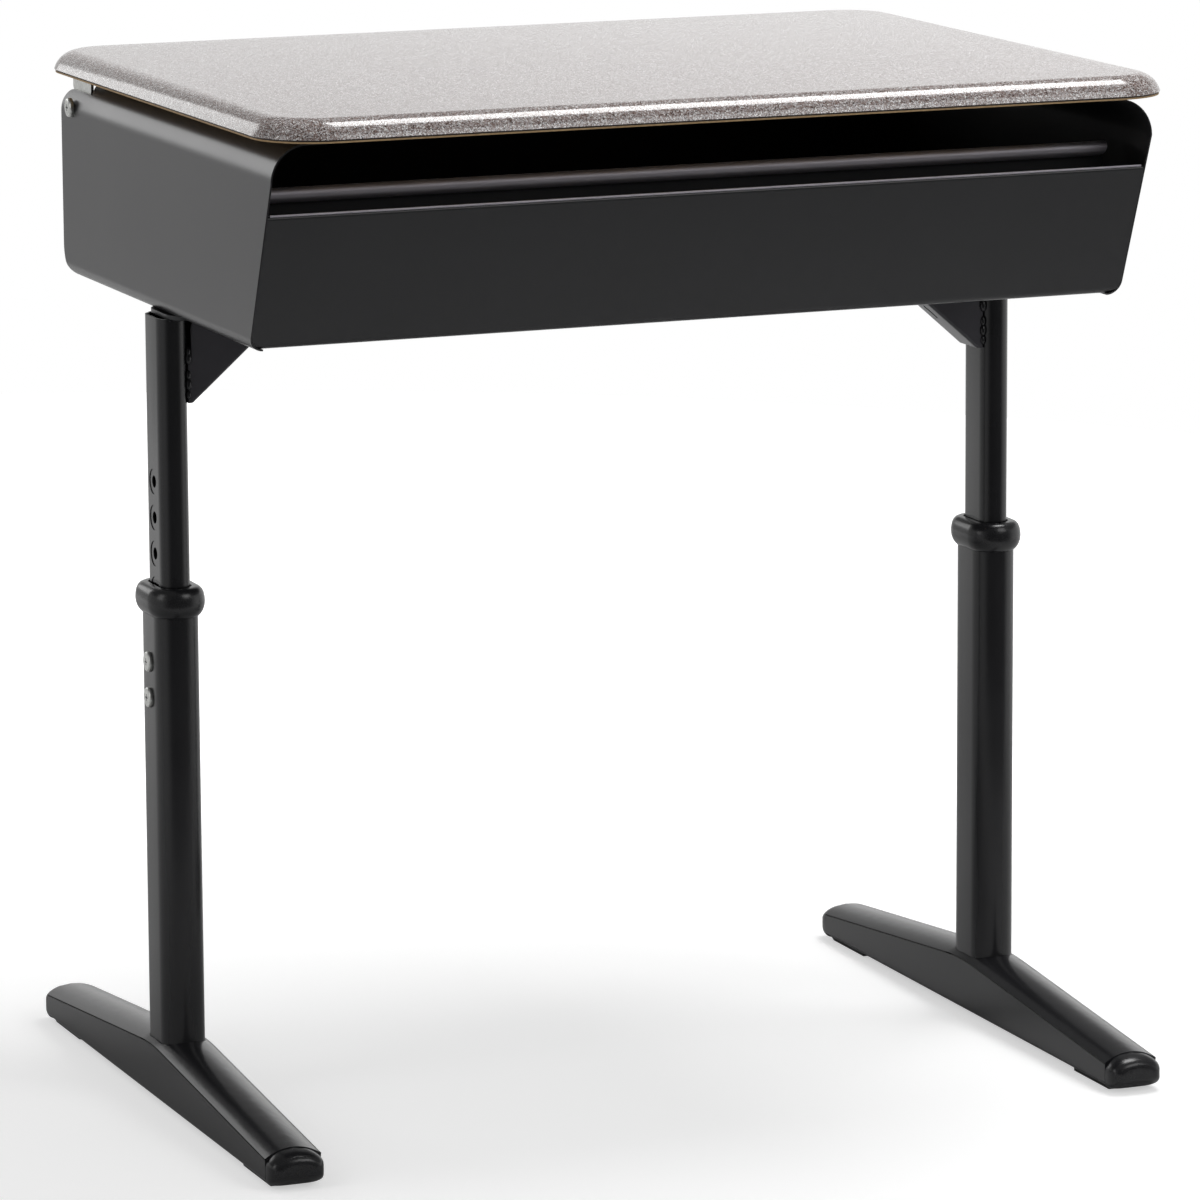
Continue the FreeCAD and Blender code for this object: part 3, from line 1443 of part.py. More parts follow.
# ----------------------------------------------------------------------------------------
# Build
# ----------------------------------------------------------------------------------------

make_lid_panel()
make_lid_backer()
make_box_tray()
make_pencil_trough()
make_lid_bumpers()
make_hinge_screws()
make_plate_bolts()
for side_sign in (LEFT, RIGHT):
    make_side_panel(side_sign)
    make_hinge_leaf(side_sign)
    make_pivot_bolt(side_sign)
    make_leg_plate(side_sign)
    make_gusset(side_sign)
    make_upper_leg(side_sign)
    make_upper_leg_plug(side_sign)
    make_lower_leg(side_sign)
    make_collar(side_sign)
    make_adjusting_bolts(side_sign)
    make_foot_beam(side_sign)
    make_foot_cover(side_sign)
    for end_sign in (-1, 1):
        make_foot_cap(side_sign, end_sign)

doc.recompute()

for item in doc.Objects:
    if "Invalid" in item.State or "Error" in item.State:
        raise RuntimeError(item.Label + " failed: " + str(item.State))

for node in nodes:
    if node.Shape.isNull() or not node.Shape.isValid():
        raise RuntimeError(node.Label + " has no valid shape")

for node in nodes:
    node.Shape.exportStep(os.path.join("parts", node.Label + ".step"))
    bounds = node.Shape.BoundBox
    print(node.Label, len(node.Shape.Solids), round(node.Shape.Volume),
          [round(value, 2) for value in (bounds.XMin, bounds.XMax, bounds.YMin, bounds.YMax,
                                         bounds.ZMin, bounds.ZMax)])
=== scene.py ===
import json
import math

import bmesh
import bpy
from mathutils import Matrix, Vector


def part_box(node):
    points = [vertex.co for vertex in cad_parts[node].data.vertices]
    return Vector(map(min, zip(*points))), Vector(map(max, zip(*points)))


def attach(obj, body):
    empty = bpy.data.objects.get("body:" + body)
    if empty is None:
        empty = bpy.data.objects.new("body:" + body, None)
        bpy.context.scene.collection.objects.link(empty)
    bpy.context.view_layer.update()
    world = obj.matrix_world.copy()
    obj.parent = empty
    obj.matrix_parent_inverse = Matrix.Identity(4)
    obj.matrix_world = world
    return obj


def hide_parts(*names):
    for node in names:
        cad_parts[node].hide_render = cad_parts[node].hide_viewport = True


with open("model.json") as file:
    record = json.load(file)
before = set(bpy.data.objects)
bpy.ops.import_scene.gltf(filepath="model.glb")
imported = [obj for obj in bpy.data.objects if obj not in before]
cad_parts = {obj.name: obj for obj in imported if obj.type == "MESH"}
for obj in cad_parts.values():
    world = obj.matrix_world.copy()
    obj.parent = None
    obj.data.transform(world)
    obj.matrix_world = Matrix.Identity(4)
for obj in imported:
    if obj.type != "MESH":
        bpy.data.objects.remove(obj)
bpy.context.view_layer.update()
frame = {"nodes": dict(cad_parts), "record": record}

# School desk: speckled lift lid over a charcoal steel book box on two telescoping legs.
# Metres; X to the sitter's right, Y to the back, Z up.

MM = 0.001
SIDES = (("left", -1.0), ("right", 1.0))
SAME_PLACE = 0.002 * MM             # vertices nearer than this are one
SAME_FACE = math.radians(0.4)       # faces turned less than this against each other are one
CRISP_ANGLE = math.radians(28)      # edges turned more than this are shaded crisp
ARRIS_ANGLE = math.radians(32)      # edges turned more than this are rounded
BACKER_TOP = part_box("lid_backer")[1][2]
FRONT_TOP = 657.0 * MM              # the front sheet's top edge
RING_HEIGHT = 21.0 * MM             # the collar's ring, without its sleeve inside the tube


# ---------------------------------------------------------------------------------------
# Colours and material nodes
# ---------------------------------------------------------------------------------------

def linear(code):
    """An sRGB hex colour as the linear colour that Blender's sockets take."""
    parts = [int(code[start:start + 2], 16) / 255 for start in (1, 3, 5)]
    turned = [c / 12.92 if c <= 0.04045 else ((c + 0.055) / 1.055) ** 2.4 for c in parts]
    return (*turned, 1.0)


def add_node(tree, kind, settings=None, links=None):
    """Adds a node; settings go to its properties or its sockets, links to its sockets."""
    node = tree.nodes.new(kind)
    for key, value in (settings or {}).items():
        if isinstance(key, str) and hasattr(node, key):
            setattr(node, key, value)
        else:
            node.inputs[key].default_value = value
    for key, source in (links or {}).items():
        tree.links.new(source, node.inputs[key])
    return node


def new_material(name, **values):
    """A material, its tree, its shader with these values, and the place on the piece."""
    material = bpy.data.materials.new(name)
    material.use_nodes = True
    tree = material.node_tree
    shader = tree.nodes["Principled BSDF"]
    for key, value in values.items():
        shader.inputs[key].default_value = value
    return material, tree, shader, add_node(tree, "ShaderNodeTexCoord").outputs["Object"]


def per_metre(size_mm):
    """The texture scale that gives a pattern of this many millimetres."""
    return 1.0 / (size_mm * MM)


def stretched(tree, place, scale):
    return add_node(tree, "ShaderNodeMapping", {"Scale": scale},
                    {"Vector": place}).outputs["Vector"]


def noise(tree, place, size_mm, detail, **more):
    settings = {"Scale": per_metre(size_mm), "Detail": detail, **more}
    return add_node(tree, "ShaderNodeTexNoise", settings, {"Vector": place}).outputs["Fac"]


def colour_steps(tree, factor, stops, interpolation="LINEAR"):
    ramp = add_node(tree, "ShaderNodeValToRGB", links={0: factor})
    ramp.color_ramp.interpolation = interpolation
    elements = ramp.color_ramp.elements
    while len(elements) < len(stops):
        elements.new(0.5)
    for element, (position, code) in zip(elements, stops):
        element.position = position
        element.color = linear(code)
    return ramp.outputs["Color"]


def between(tree, factor, codes):
    """Two near tones that drift into each other."""
    return colour_steps(tree, factor, [(0.3, codes[0]), (0.7, codes[1])])


def set_colour(tree, shader, colour):
    tree.links.new(colour, shader.inputs["Base Color"])


def set_gloss(tree, shader, factor, low, high):
    """Roughness that wanders between two values."""
    gloss = add_node(tree, "ShaderNodeMapRange", {"To Min": low, "To Max": high},
                     {"Value": factor})
    tree.links.new(gloss.outputs["Result"], shader.inputs["Roughness"])


def set_bump(tree, shader, factor, strength, depth_mm):
    bump = add_node(tree, "ShaderNodeBump", {"Strength": strength, "Distance": depth_mm * MM},
                    {"Height": factor})
    tree.links.new(bump.outputs["Normal"], shader.inputs["Normal"])


# ---------------------------------------------------------------------------------------
# Finishes
# ---------------------------------------------------------------------------------------

def speckled_laminate():
    """High-pressure laminate pressed over the top and its rolled edges: hard grains of white,
    warm grey and red-brown under a satin melamine skin, glossy when seen along it."""
    material, tree, shader, place = new_material("speckled_melamine_laminate", IOR=1.6)

    def grains(size_mm):
        cells = add_node(tree, "ShaderNodeTexVoronoi",
                         {"Scale": per_metre(size_mm), "Randomness": 1.0}, {"Vector": place})
        return add_node(tree, "ShaderNodeSeparateColor", links={0: cells.outputs["Color"]}).outputs

    grain_tone, fleck_tone = grains(1.0), grains(0.62)
    coarse = colour_steps(tree, grain_tone[0], [
        (0.0, "#49372f"), (0.13, "#7a6862"), (0.33, "#8f8380"), (0.57, "#a09b9a"),
        (0.80, "#bab7b7"), (0.93, "#dddbda")], "CONSTANT")
    fine = colour_steps(tree, fleck_tone[1], [
        (0.0, "#382a27"), (0.22, "#7f6d67"), (0.55, "#a19b9a"), (0.85, "#e4e2e1")], "CONSTANT")
    where = colour_steps(tree, fleck_tone[2], [(0.0, "#000000"), (0.56, "#ffffff")], "CONSTANT")
    mixed = add_node(tree, "ShaderNodeMix", {"data_type": "RGBA"}, {0: where, 6: coarse, 7: fine})
    skin = noise(tree, place, 1.1, 2.0)
    set_colour(tree, shader, mixed.outputs[2])
    set_gloss(tree, shader, skin, 0.10, 0.14)
    set_bump(tree, shader, skin, 0.04, 0.03)
    return material


def backing_board():
    """Tan fibre backer under the top, its sawn edge left bare, with a dark stripe of painted shade
    along its top, where the laminate's turned-under edge shades it: two thin stripes round the
    lid."""
    material, tree, shader, place = new_material("brown_fibre_backing_board", Roughness=0.7)
    fibres = noise(tree, stretched(tree, place, (1.0, 1.0, 8.0)), 3.0, 6.0, Roughness=0.7)
    tone = colour_steps(tree, fibres, [(0.25, "#7a5f40"), (0.5, "#ab8d64"), (0.72, "#cdb48c")])
    height = add_node(tree, "ShaderNodeSeparateXYZ", links={0: place})
    # Painted shade: a dark stripe along the top of the sawn edge stands for the shade under the
    # laminate's edge.
    painted_shade_line = add_node(tree, "ShaderNodeMapRange",
                         {"From Min": BACKER_TOP - 1.2 * MM, "From Max": BACKER_TOP - 1.0 * MM},
                         {"Value": height.outputs["Z"]})
    edge_shaded_by_paint = add_node(tree, "ShaderNodeMix", {"data_type": "RGBA", 7: linear("#2c211b")},
                       {0: painted_shade_line.outputs["Result"], 6: tone})
    set_colour(tree, shader, edge_shaded_by_paint.outputs[2])
    set_bump(tree, shader, fibres, 0.3, 0.15)
    return material


def powder_coat(name, codes, roughness, peel_mm, peel_depth):
    """Charcoal polyester powder coat, baked on steel: an even satin film whose slow orange
    peel breaks up long reflections."""
    material, tree, shader, place = new_material(name, IOR=1.45)
    peel = noise(tree, place, peel_mm, 3.0)
    drift = noise(tree, place, 90.0, 4.0)
    set_colour(tree, shader, between(tree, drift, codes))
    set_gloss(tree, shader, drift, *roughness)
    set_bump(tree, shader, peel, 0.25, peel_depth)
    return material


def zinc_plate():
    """Bright zinc-plated steel: cool silver with faint spangle and soft tool marks."""
    material, tree, shader, place = new_material("bright_zinc_plated_steel", Metallic=1.0)
    spangle = noise(tree, place, 2.5, 4.0)
    set_colour(tree, shader, between(tree, spangle, ("#b4b5b2", "#d2d3d0")))
    set_gloss(tree, shader, spangle, 0.26, 0.42)
    return material


def plated_nose_steel():
    """Satin plated strip steel on the trough's rolled nose: a dusky metal, soft enough to spread
    the light of the room along it."""
    material, tree, shader, place = new_material("satin_plated_strip_steel", Metallic=1.0)
    drawn = noise(tree, stretched(tree, place, (0.04, 1.0, 1.0)), 0.9, 3.0)
    set_colour(tree, shader, between(tree, drawn, ("#b2afb7", "#c1bec6")))
    set_gloss(tree, shader, drawn, 0.50, 0.60)
    set_bump(tree, shader, drawn, 0.2, 0.03)
    return material


def moulded(name, codes, roughness, grain_mm):
    """Black moulded plastic or rubber with the fine spark-eroded grain of its tool."""
    material, tree, shader, place = new_material(name, IOR=1.46)
    grain = noise(tree, place, grain_mm, 2.0)
    set_colour(tree, shader, between(tree, grain, codes))
    set_gloss(tree, shader, grain, roughness - 0.05, roughness + 0.07)
    set_bump(tree, shader, grain, 0.2, 0.05)
    return material


FINISHES = {
    "lid_surface": speckled_laminate(),
    "lid_backer": backing_board(),
    # A thin even film on the box's sheets and the leg plates: satin.
    "box_paint": powder_coat("charcoal_powder_coat_on_sheet", ("#232325", "#272729"),
                             (0.27, 0.34), 1.6, 0.03),
    # The same paint on the tubes and feet: darker and glossier.
    "leg_paint": powder_coat("charcoal_powder_coat_on_tube", ("#1a1a1c", "#202022"),
                             (0.17, 0.24), 1.4, 0.025),
    "zinc": zinc_plate(),
    # Collars, foot caps and end guides: black with a soft shine; so are the crosses of painted
    # shade on the bolt heads.
    "black_plastic": moulded("black_moulded_polypropylene", ("#18181a", "#1f1f21"), 0.24, 0.7),
    # The lid's buttons, and the dark strips of painted shade in the feet's seams: dead matt black.
    "rubber": moulded("black_rubber", ("#161616", "#1d1d1d"), 0.75, 0.5),
}
# The same charcoal paint on the welded gussets, painted lighter and greyer as painted light, since
# they sit in shade under the desk; duller than on the tubes.
LIGHTENED_GUSSET_COAT = powder_coat("charcoal_powder_coat_lightened_for_gusset", ("#3b3a3e", "#47464b"),
                           (0.27, 0.34), 1.6, 0.03)
STRIP_STEEL = plated_nose_steel()


# ---------------------------------------------------------------------------------------
# Pieces made over the CAD nodes
# ---------------------------------------------------------------------------------------

SLOT_OF = {row["node"]: row["material_slot"] for row in frame["record"]["subparts"]}
BODY_OF = {node: body for body, members in frame["record"]["behaviour"]["bodies"].items()
           for node in members}

# Softened edge on each node, in millimetres, by the start of its name.
EDGE_SOFTNESS = {
    "lid_panel": 0.5, "lid_backer": 0.3, "box_tray": 0.35, "pencil_trough": 0.35,
    "side_panel": 0.35, "leg_plate": 0.6, "gusset": 0.4, "upper_leg": 0.25, "lower_leg": 0.3,
    "foot_beam": 0.4, "foot_cover": 0.35, "foot_cap": 0.4, "hinge_leaf": 0.4,
    "pivot_bolt": 0.25, "plate_bolts": 0.3, "hinge_screws": 0.15, "lid_bumpers": 0.3,
    "adjusting_bolts": 0.2,
}


def mesh_from(bm, name):
    mesh = bpy.data.meshes.new(name)
    bm.to_mesh(mesh)
    bm.free()
    return mesh


def add_piece(name, bm, body, slot, finish=None):
    """Puts a piece on its body, in its slot's finish unless it has one of its own."""
    mesh = mesh_from(bm, name)
    piece = bpy.data.objects.new(name, mesh)
    bpy.context.scene.collection.objects.link(piece)
    mesh.materials.append(finish or FINISHES[slot])
    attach(piece, body)
    return piece


def smooth_by_angle(bm, angle=CRISP_ANGLE):
    for face in bm.faces:
        face.smooth = True
    for edge in bm.edges:
        edge.smooth = not (len(edge.link_faces) == 2 and edge.calc_face_angle() > angle)


def node_form(node):
    """The CAD node's own faces, with the vertices they share made one."""
    bm = bmesh.new()
    bm.from_mesh(frame["nodes"][node].data)
    bmesh.ops.remove_doubles(bm, verts=bm.verts, dist=SAME_PLACE)
    return bm


def cut_off(bm, place, way):
    """Takes away all that lies past this place, the way the vector points."""
    bmesh.ops.bisect_plane(bm, geom=bm.verts[:] + bm.edges[:] + bm.faces[:],
                           plane_co=place, plane_no=way, clear_outer=True)


def face_out(bm):
    bmesh.ops.recalc_face_normals(bm, faces=bm.faces)


def loop_edges(verts):
    return list({edge for vert in verts for edge in vert.link_edges})


def bridged(bm, loops):
    for inner, outer in zip(loops, loops[1:]):
        bmesh.ops.bridge_loops(bm, edges=inner + outer)


def side_x(box, way):
    """The x of the box's left side (way below 0) or its right side."""
    return (box[1] if way > 0 else box[0])[0]


def beam_end(side, end):
    """Where the foot's beam and cover stop and the end cap's nose begins."""
    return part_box("foot_cover_" + side)[0 if end < 0 else 1][1]


def softened(node):
    """The node's own form with its arrises rounded as paint and tumbling leave them."""
    bm = node_form(node)
    bmesh.ops.dissolve_limit(bm, angle_limit=SAME_FACE, verts=bm.verts, edges=bm.edges,
                             delimit=set())
    if node.startswith("foot_cap"):      # cap_nose() makes the part outside the beam
        side, end = node.split("_")[2], (-1.0 if node.endswith("front") else 1.0)
        inside = 0.3 * MM
        cut_off(bm, (0.0, beam_end(side, end) - end * inside, 0.0), (0.0, end, 0.0))
        bmesh.ops.holes_fill(bm, edges=[edge for edge in bm.edges if edge.is_boundary])
    smooth_by_angle(bm)
    # Gussets take the copy of the paint lightened as painted light.
    piece = add_piece(node + "_finish", bm, BODY_OF[node], SLOT_OF[node],
                      LIGHTENED_GUSSET_COAT if node.startswith("gusset") else None)
    bevel = piece.modifiers.new("arris", "BEVEL")
    bevel.width = MM * next(width for stem, width in EDGE_SOFTNESS.items()
                            if node.startswith(stem))
    bevel.segments = 2
    bevel.limit_method = "ANGLE"
    bevel.angle_limit = ARRIS_ANGLE
    bevel.harden_normals = True
    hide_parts(node)


def trough_nose_strip():
    """Plated strip over the trough's rolled nose, lifted off the steel by its own gauge."""
    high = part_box("pencil_trough")[1]
    nose_back = high[1] - 5.0 * MM
    nose_low = high[2] - 9.6 * MM
    lift, gauge = 0.25 * MM, 0.2 * MM
    bm = node_form("pencil_trough")
    off = []
    for face in bm.faces:
        middle, normal = face.calc_center_median(), face.normal
        outside = normal.y < -0.05 or normal.z > 0.05
        wall = middle.y > nose_back and normal.z < 0.5
        if middle.z < nose_low or not outside or wall:
            off.append(face)
    bmesh.ops.delete(bm, geom=off, context="FACES")
    bm.normal_update()
    for vert in bm.verts:
        vert.co += vert.normal * lift
    bmesh.ops.solidify(bm, geom=bm.faces[:], thickness=gauge)
    face_out(bm)
    smooth_by_angle(bm)
    add_piece("trough_nose_strip", bm, "desk_body", "zinc", STRIP_STEEL)


def front_hem():
    """The front sheet's top edge turned over on itself into a thin round hem."""
    low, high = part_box("box_tray")
    radius, short_of_sides = 0.85 * MM, 4.0 * MM
    set_back, rise = 0.75 * MM, 0.2 * MM
    place = (0.0, low[1] + set_back, FRONT_TOP + rise)
    bm = bmesh.new()
    bmesh.ops.create_cone(bm, cap_ends=True, segments=20, radius1=radius, radius2=radius,
                          depth=high[0] - low[0] - short_of_sides,
                          matrix=Matrix.Translation(place)
                          @ Matrix.Rotation(math.radians(90), 4, "Y"))
    smooth_by_angle(bm, math.radians(40))
    add_piece("front_hem", bm, "desk_body", "zinc", STRIP_STEEL)


def tube_plan(node):
    """Middle, end radius and half straight run of a flat-sided tube, read off its box."""
    low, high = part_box(node)
    middle = ((low[0] + high[0]) / 2, (low[1] + high[1]) / 2)
    radius = (high[0] - low[0]) / 2
    return middle, radius, (high[1] - low[1]) / 2 - radius


def oblong_loop(bm, middle, radius, straight, height, ripple=0.0):
    """One ring round a flat-sided tube: two half circles joined by straight runs."""
    loop = bmesh.ops.create_circle(bm, cap_ends=False, segments=72, radius=radius)["verts"]
    for number, vert in enumerate(loop):
        wave = 1.0 + (ripple if (number // 2) % 2 else 0.0)
        vert.co.x *= wave
        vert.co.y = vert.co.y * wave + math.copysign(straight, vert.co.y)
        vert.co += Vector((middle[0], middle[1], height))
    return loop_edges(loop)


def leg_welds(side, way):
    """Fillet weld between tube top and plate, rippled by the run of the torch and cut off
    where the plate ends."""
    middle, radius, straight = tube_plan("upper_leg_" + side)
    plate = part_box("leg_plate_" + side)
    top = plate[0][2]
    leg, ripple = 1.7 * MM, 0.012
    section = ((0.0, 1.0, 0.0), (0.62, 0.45, ripple), (1.0, 0.0, ripple))
    bm = bmesh.new()
    bridged(bm, [oblong_loop(bm, middle, radius + out * leg, straight, top - drop * leg, wave)
                 for out, drop, wave in section])
    cut_off(bm, (side_x(plate, way), 0.0, 0.0), (way, 0.0, 0.0))
    face_out(bm)
    smooth_by_angle(bm, math.radians(60))
    add_piece("leg_weld_" + side, bm, "desk_body", "leg_paint")


COLLAR_PROFILE = (          # share of the bulge, share of the height
    (0.00, 0.00), (0.16, 0.015), (0.42, 0.08), (0.72, 0.19), (0.92, 0.33), (1.00, 0.48),
    (0.97, 0.62), (0.86, 0.76), (0.64, 0.88), (0.36, 0.955), (0.05, 0.99), (-0.30, 1.00))


def collar_ring(side):
    """Moulded collar: a plump oblong ring that draws in to the lower tube under it."""
    node = "collar_" + side
    low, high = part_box(node)
    middle, radius, straight = tube_plan("lower_leg_" + side)
    _, upper_radius, upper_straight = tube_plan("upper_leg_" + side)
    bulge = (high[0] - low[0]) / 2 - radius
    top, foot = high[2], high[2] - RING_HEIGHT
    bore, lead_in = upper_radius + 0.35 * MM, 0.8 * MM
    bm = bmesh.new()
    loops = [oblong_loop(bm, middle, radius + out * bulge, straight, foot + up * RING_HEIGHT)
             for out, up in COLLAR_PROFILE]
    for wide, height in ((bore + lead_in, top), (bore, top - lead_in), (bore, foot)):
        loops.append(oblong_loop(bm, middle, wide, upper_straight, height))
    bridged(bm, loops + loops[:1])
    face_out(bm)
    smooth_by_angle(bm, math.radians(50))
    piece = add_piece(node + "_ring", bm, BODY_OF[node], SLOT_OF[node])
    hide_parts(node)


def cross_shade_marks(side, way):
    """Black crosses set into each bolt head's outer side: painted shade for a cross recess, which
    is not cut.
    """
    depth, bar_width, bar_length, sunk = 0.5 * MM, 1.1 * MM, 5.0 * MM, 0.2 * MM

    def crossed(name, node, heads):
        x = side_x(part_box(node), way) - way * sunk
        bm = bmesh.new()
        for y, z in heads:
            for size in ((depth, bar_length, bar_width), (depth, bar_width, bar_length)):
                bmesh.ops.create_cube(bm, size=1.0, matrix=Matrix.Translation((x, y, z))
                                      @ Matrix.Diagonal((*size, 1.0)))
        add_piece(name, bm, BODY_OF[node], "black_plastic")

    bolts = "adjusting_bolts_" + side
    low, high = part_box(bolts)
    centre, head = (low[1] + high[1]) / 2, (high[1] - low[1]) / 2
    crossed("bolt_cross_shade_" + side, bolts, [(centre, low[2] + head), (centre, high[2] - head)])
    pivot = "pivot_bolt_" + side
    low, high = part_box(pivot)
    crossed("pivot_shade_cross_" + side, pivot, [((low[1] + high[1]) / 2, (low[2] + high[2]) / 2)])


def gusset_welds(side, way):
    """A run of weld beads down both corners where the gusset meets the tube."""
    low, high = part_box("gusset_" + side)
    tube_inside = side_x(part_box("upper_leg_" + side), -way)
    bead = Matrix.Diagonal((0.8, 0.8, 1.5, 1.0))
    bm = bmesh.new()
    for up, radius in ((0.10, 2.2), (0.22, 2.9), (0.33, 2.4), (0.52, 3.0), (0.60, 2.2)):
        height = low[2] + (high[2] - low[2]) * up
        for face in (low[1], high[1]):
            bmesh.ops.create_icosphere(
                bm, subdivisions=2, radius=radius * MM,
                matrix=Matrix.Translation((tube_inside, face, height)) @ bead)
    smooth_by_angle(bm, math.radians(60))
    add_piece("gusset_weld_" + side, bm, "desk_body", "leg_paint")


def seam_shade_strips(side):
    """A thin dark strip of painted shade where the foot's cover meets the beam's sides, standing
    for the shade in the seam.
    """
    node = "foot_cover_" + side
    low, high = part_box(node)
    cover = node_form(node)
    runs = []
    for edge in cover.edges:
        ends = [vert.co for vert in edge.verts]
        outer = all(min(co.x - low[0], high[0] - co.x) < 0.3 * MM for co in ends)
        along = abs(ends[0].y - ends[1].y) > 1.0 * MM
        under = any(face.normal.z < -0.6 for face in edge.link_faces)
        if outer and along and under:
            runs.append([co.copy() for co in ends])
    cover.free()
    bm = bmesh.new()
    middle = (low[0] + high[0]) / 2
    for ends in runs:
        proud = Vector((math.copysign(0.15 * MM, ends[0].x - middle), 0.0, 0.1 * MM))
        bm.edges.new([bm.verts.new(co + proud) for co in ends])
    bmesh.ops.remove_doubles(bm, verts=bm.verts, dist=0.01 * MM)
    strip = bmesh.ops.extrude_edge_only(bm, edges=bm.edges[:])["geom"]
    bmesh.ops.translate(bm, vec=(0.0, 0.0, -1.1 * MM),
                        verts=[part for part in strip if isinstance(part, bmesh.types.BMVert)])
    bmesh.ops.solidify(bm, geom=bm.faces[:], thickness=0.1 * MM)
    face_out(bm)
    add_piece("foot_painted_seam_shade_" + side, bm, BODY_OF[node], "rubber")


def cap_nose(side, end):
    """Rounded nose of a foot's end cap: a soft-cornered, crowned block that thins to its tip
    and lifts its toe off the floor."""
    node = "foot_cap_" + side + ("_front" if end < 0 else "_rear")
    low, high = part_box(node)
    middle, half = (low[0] + high[0]) / 2, (high[0] - low[0]) / 2
    start = beam_end(side, end)
    length = abs((low if end < 0 else high)[1] - start)
    crown, corner = 6.5 * MM, 0.4        # rise of the middle; 1 is an ellipse, 0 a rectangle
    bm = bmesh.new()
    loops = []
    for along in (-0.02, 0.0, 0.15, 0.32, 0.5, 0.66, 0.79, 0.89, 0.96, 1.0):
        out = max(along, 0.0)
        curl = 1.0 - math.sqrt(max(0.0, 1.0 - out ** 3))
        wide = half * (1.0 - 0.40 * curl) - 0.1 * MM
        top = high[2] - (2.0 * out + 6.5 * curl) * MM
        bottom = (1.4 + 6.0 * out ** 2 + 3.0 * curl) * MM
        deep = (top - bottom) / 2
        loop = bmesh.ops.create_circle(bm, cap_ends=False, segments=48, radius=1.0)["verts"]
        for vert in loop:
            across = math.copysign(abs(vert.co.x) ** corner, vert.co.x)
            up = math.copysign(abs(vert.co.y) ** corner, vert.co.y)
            fall = crown * (1.0 - 0.35 * out) * across ** 2 * (up + 1.0) / 2
            vert.co = (middle + wide * across, start + end * along * length,
                       bottom + deep * (up + 1.0) - fall)
        loops.append(loop_edges(loop))
    bridged(bm, loops)
    for rim in (loops[0], loops[-1]):
        bmesh.ops.holes_fill(bm, edges=rim)
    face_out(bm)
    smooth_by_angle(bm, math.radians(50))
    add_piece(node + "_nose", bm, BODY_OF[node], SLOT_OF[node])


for node_name in frame["nodes"]:
    if not node_name.startswith("collar"):      # collar_ring() makes those
        softened(node_name)
trough_nose_strip()
front_hem()
for side_name, outward in SIDES:
    leg_welds(side_name, outward)
    collar_ring(side_name)
    cross_shade_marks(side_name, outward)
    gusset_welds(side_name, outward)
    seam_shade_strips(side_name)
    cap_nose(side_name, -1.0)
    cap_nose(side_name, 1.0)


# ---------------------------------------------------------------------------------------
# Floor, light and camera
# ---------------------------------------------------------------------------------------

# World strengths: what lights the desk, and what a gloss sees overhead and in front.
FILL = 0.32
CEILING = 0.28
ROOM = 0.12


def calculated(tree, operation, first, second):
    return add_node(tree, "ShaderNodeMath", {"operation": operation},
                    {0: first, 1: second}).outputs[0]


def seen_rays(tree):
    """The rays that see the background straight, and those in a gloss or through clear stuff."""
    rays = add_node(tree, "ShaderNodeLightPath")
    mirrored = calculated(tree, "MAXIMUM", rays.outputs["Is Glossy Ray"],
                          rays.outputs["Is Transmission Ray"])
    return rays.outputs["Is Camera Ray"], mirrored


def eased(tree, value, start, end, first, last):
    """Eases from first to last while the value goes from start to end."""
    return add_node(tree, "ShaderNodeMapRange",
                    {"interpolation_type": "SMOOTHSTEP", "From Min": start, "From Max": end,
                     "To Min": first, "To Max": last}, {"Value": value}).outputs["Result"]


def studio_floor():
    """A white paper table, matt, that keeps the desk's shadow and fades to plain white."""
    radius, behind, under = 1.95, 1.15, 0.5 * MM
    bm = bmesh.new()
    bmesh.ops.create_circle(bm, cap_ends=True, segments=96, radius=radius,
                            matrix=Matrix.Translation((0.0, behind, -under)))
    floor = bpy.data.objects.new("studio_floor", mesh_from(bm, "studio_floor"))
    bpy.context.scene.collection.objects.link(floor)
    material = bpy.data.materials.new("white_paper_floor")
    material.use_nodes = True
    tree = material.node_tree
    tree.nodes.clear()
    camera_ray, mirrored = seen_rays(tree)
    place = add_node(tree, "ShaderNodeTexCoord").outputs["Object"]
    away = add_node(tree, "ShaderNodeVectorMath", {"operation": "LENGTH"},
                    {0: place}).outputs["Value"]
    seen = calculated(tree, "MULTIPLY", camera_ray, eased(tree, away, 0.55, 1.0, 0.52, 1.0))
    in_gloss = calculated(tree, "MULTIPLY", mirrored, eased(tree, away, 0.6, 2.6, 0.0, 0.5))
    matt = add_node(tree, "ShaderNodeBsdfDiffuse", {"Color": (0.68, 0.68, 0.68, 1.0)})
    glow = add_node(tree, "ShaderNodeEmission", {"Color": (1, 1, 1, 1)},
                    {"Strength": calculated(tree, "ADD", seen, in_gloss)})
    both = add_node(tree, "ShaderNodeAddShader", links={0: matt.outputs[0], 1: glow.outputs[0]})
    add_node(tree, "ShaderNodeOutputMaterial", links={"Surface": both.outputs[0]})
    floor.data.materials.append(material)


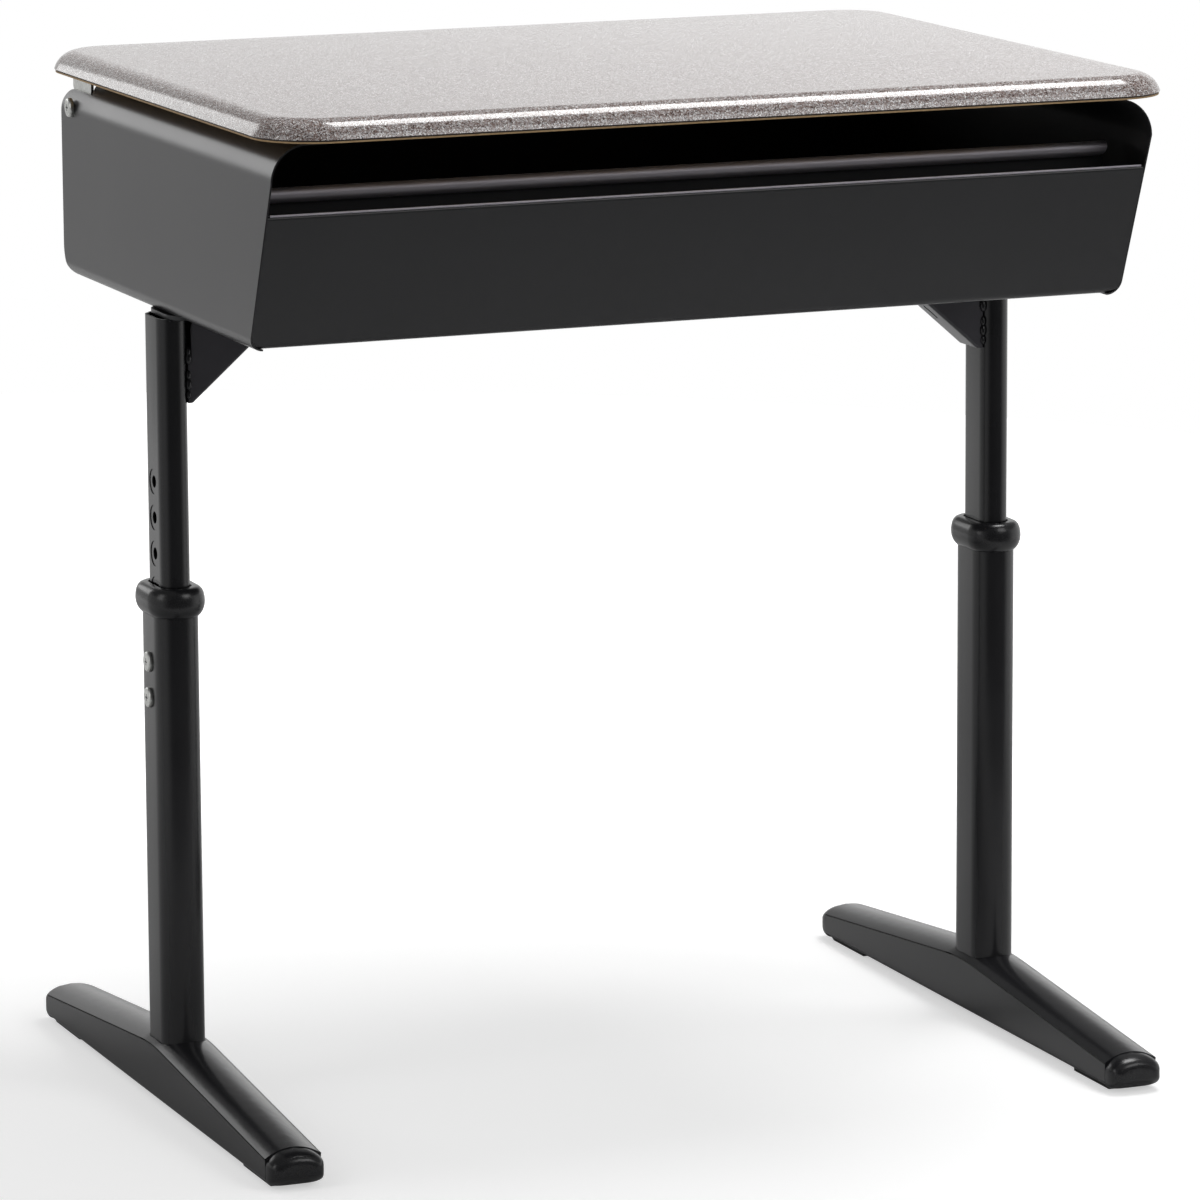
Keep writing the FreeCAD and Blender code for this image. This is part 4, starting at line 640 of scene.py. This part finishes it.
def studio_world():
    """White all round to the eye. In a gloss it is a studio: a white sweep behind and beside
    the desk, a dim ceiling and a dim room in front."""
    world = bpy.data.worlds.new("studio")
    bpy.context.scene.world = world
    world.use_nodes = True
    tree = world.node_tree
    tree.nodes.clear()
    camera_ray, mirrored = seen_rays(tree)
    way = add_node(tree, "ShaderNodeSeparateXYZ",
                   links={0: add_node(tree, "ShaderNodeTexCoord").outputs["Generated"]})
    ceiling = eased(tree, way.outputs["Z"], 0.26, 0.42, 1.0, CEILING)
    room = eased(tree, way.outputs["Y"], -0.3, -0.8, 1.0, ROOM)
    sweep = add_node(tree, "ShaderNodeMapRange",
                     {"From Min": -0.4, "From Max": 0.5, "To Min": 0.60, "To Max": 1.0},
                     {"Value": way.outputs["X"]})
    dimmed = calculated(tree, "MINIMUM", ceiling, room)
    dimmed = calculated(tree, "MULTIPLY", dimmed, sweep.outputs["Result"])
    lit = add_node(tree, "ShaderNodeMapRange", {"To Min": FILL},
                   {"Value": mirrored, "To Max": dimmed})
    strength = add_node(tree, "ShaderNodeMapRange", {"To Max": 1.0},
                        {"Value": camera_ray, "To Min": lit.outputs["Result"]})
    sky = add_node(tree, "ShaderNodeBackground", {"Color": (1, 1, 1, 1)},
                   {"Strength": strength.outputs["Result"]})
    add_node(tree, "ShaderNodeOutputWorld", links={"Surface": sky.outputs[0]})


def soft_box(name, place, target, width, depth, watts):
    light = bpy.data.lights.new(name, "AREA")
    light.shape = "RECTANGLE"
    light.size = width
    light.size_y = depth
    light.energy = watts
    lamp = bpy.data.objects.new(name, light)
    bpy.context.scene.collection.objects.link(lamp)
    lamp.location = place
    lamp.rotation_euler = (Vector(target) - Vector(place)).to_track_quat("-Z", "Y").to_euler()


def studio_camera():
    """Long lens a little above the lid, to the sitter's left of the desk's front."""
    yaw, pitch, roll = math.radians(22.08), math.radians(10.15), math.radians(0.32)
    away = Vector((-math.sin(yaw) * math.cos(pitch), -math.cos(yaw) * math.cos(pitch),
                   math.sin(pitch)))
    aim = Vector((6.87, 3.0, 407.1)) * MM
    distance_mm = 4756.4
    forward = -away
    right = forward.cross(Vector((0, 0, 1))).normalized()
    down = forward.cross(right)
    across = right * math.cos(roll) + down * math.sin(roll)
    lower = down * math.cos(roll) - right * math.sin(roll)
    data = bpy.data.cameras.new("studio_camera")
    data.sensor_width = 36.0
    data.lens = 200.3
    data.shift_y = -100 / 1200
    data.clip_end = 60
    camera = bpy.data.objects.new("studio_camera", data)
    bpy.context.scene.collection.objects.link(camera)
    turn = Matrix((across, -lower, -forward)).transposed()
    camera.matrix_world = Matrix.Translation(aim + away * distance_mm * MM) @ turn.to_4x4()
    bpy.context.scene.camera = camera


studio_floor()
studio_world()
soft_box("overhead_softbox", (0.72, 0.07, 2.4), (0.25, 0.0, 0.72), 0.9, 1.07, 30.0)
soft_box("front_softbox", (1.12, -2.2, 1.96), (0.1, -0.2, 0.6), 1.4, 1.3, 15.0)
soft_box("rear_softbox", (-1.35, 2.7, 1.4), (-0.33, 0.0, 0.7), 1.1, 1.4, 9.5)
soft_box("left_softbox", (-2.6, -0.5, 1.5), (0.0, 0.0, 0.5), 1.0, 1.4, 8.0)
studio_camera()
bpy.context.scene.view_settings.view_transform = "Standard"
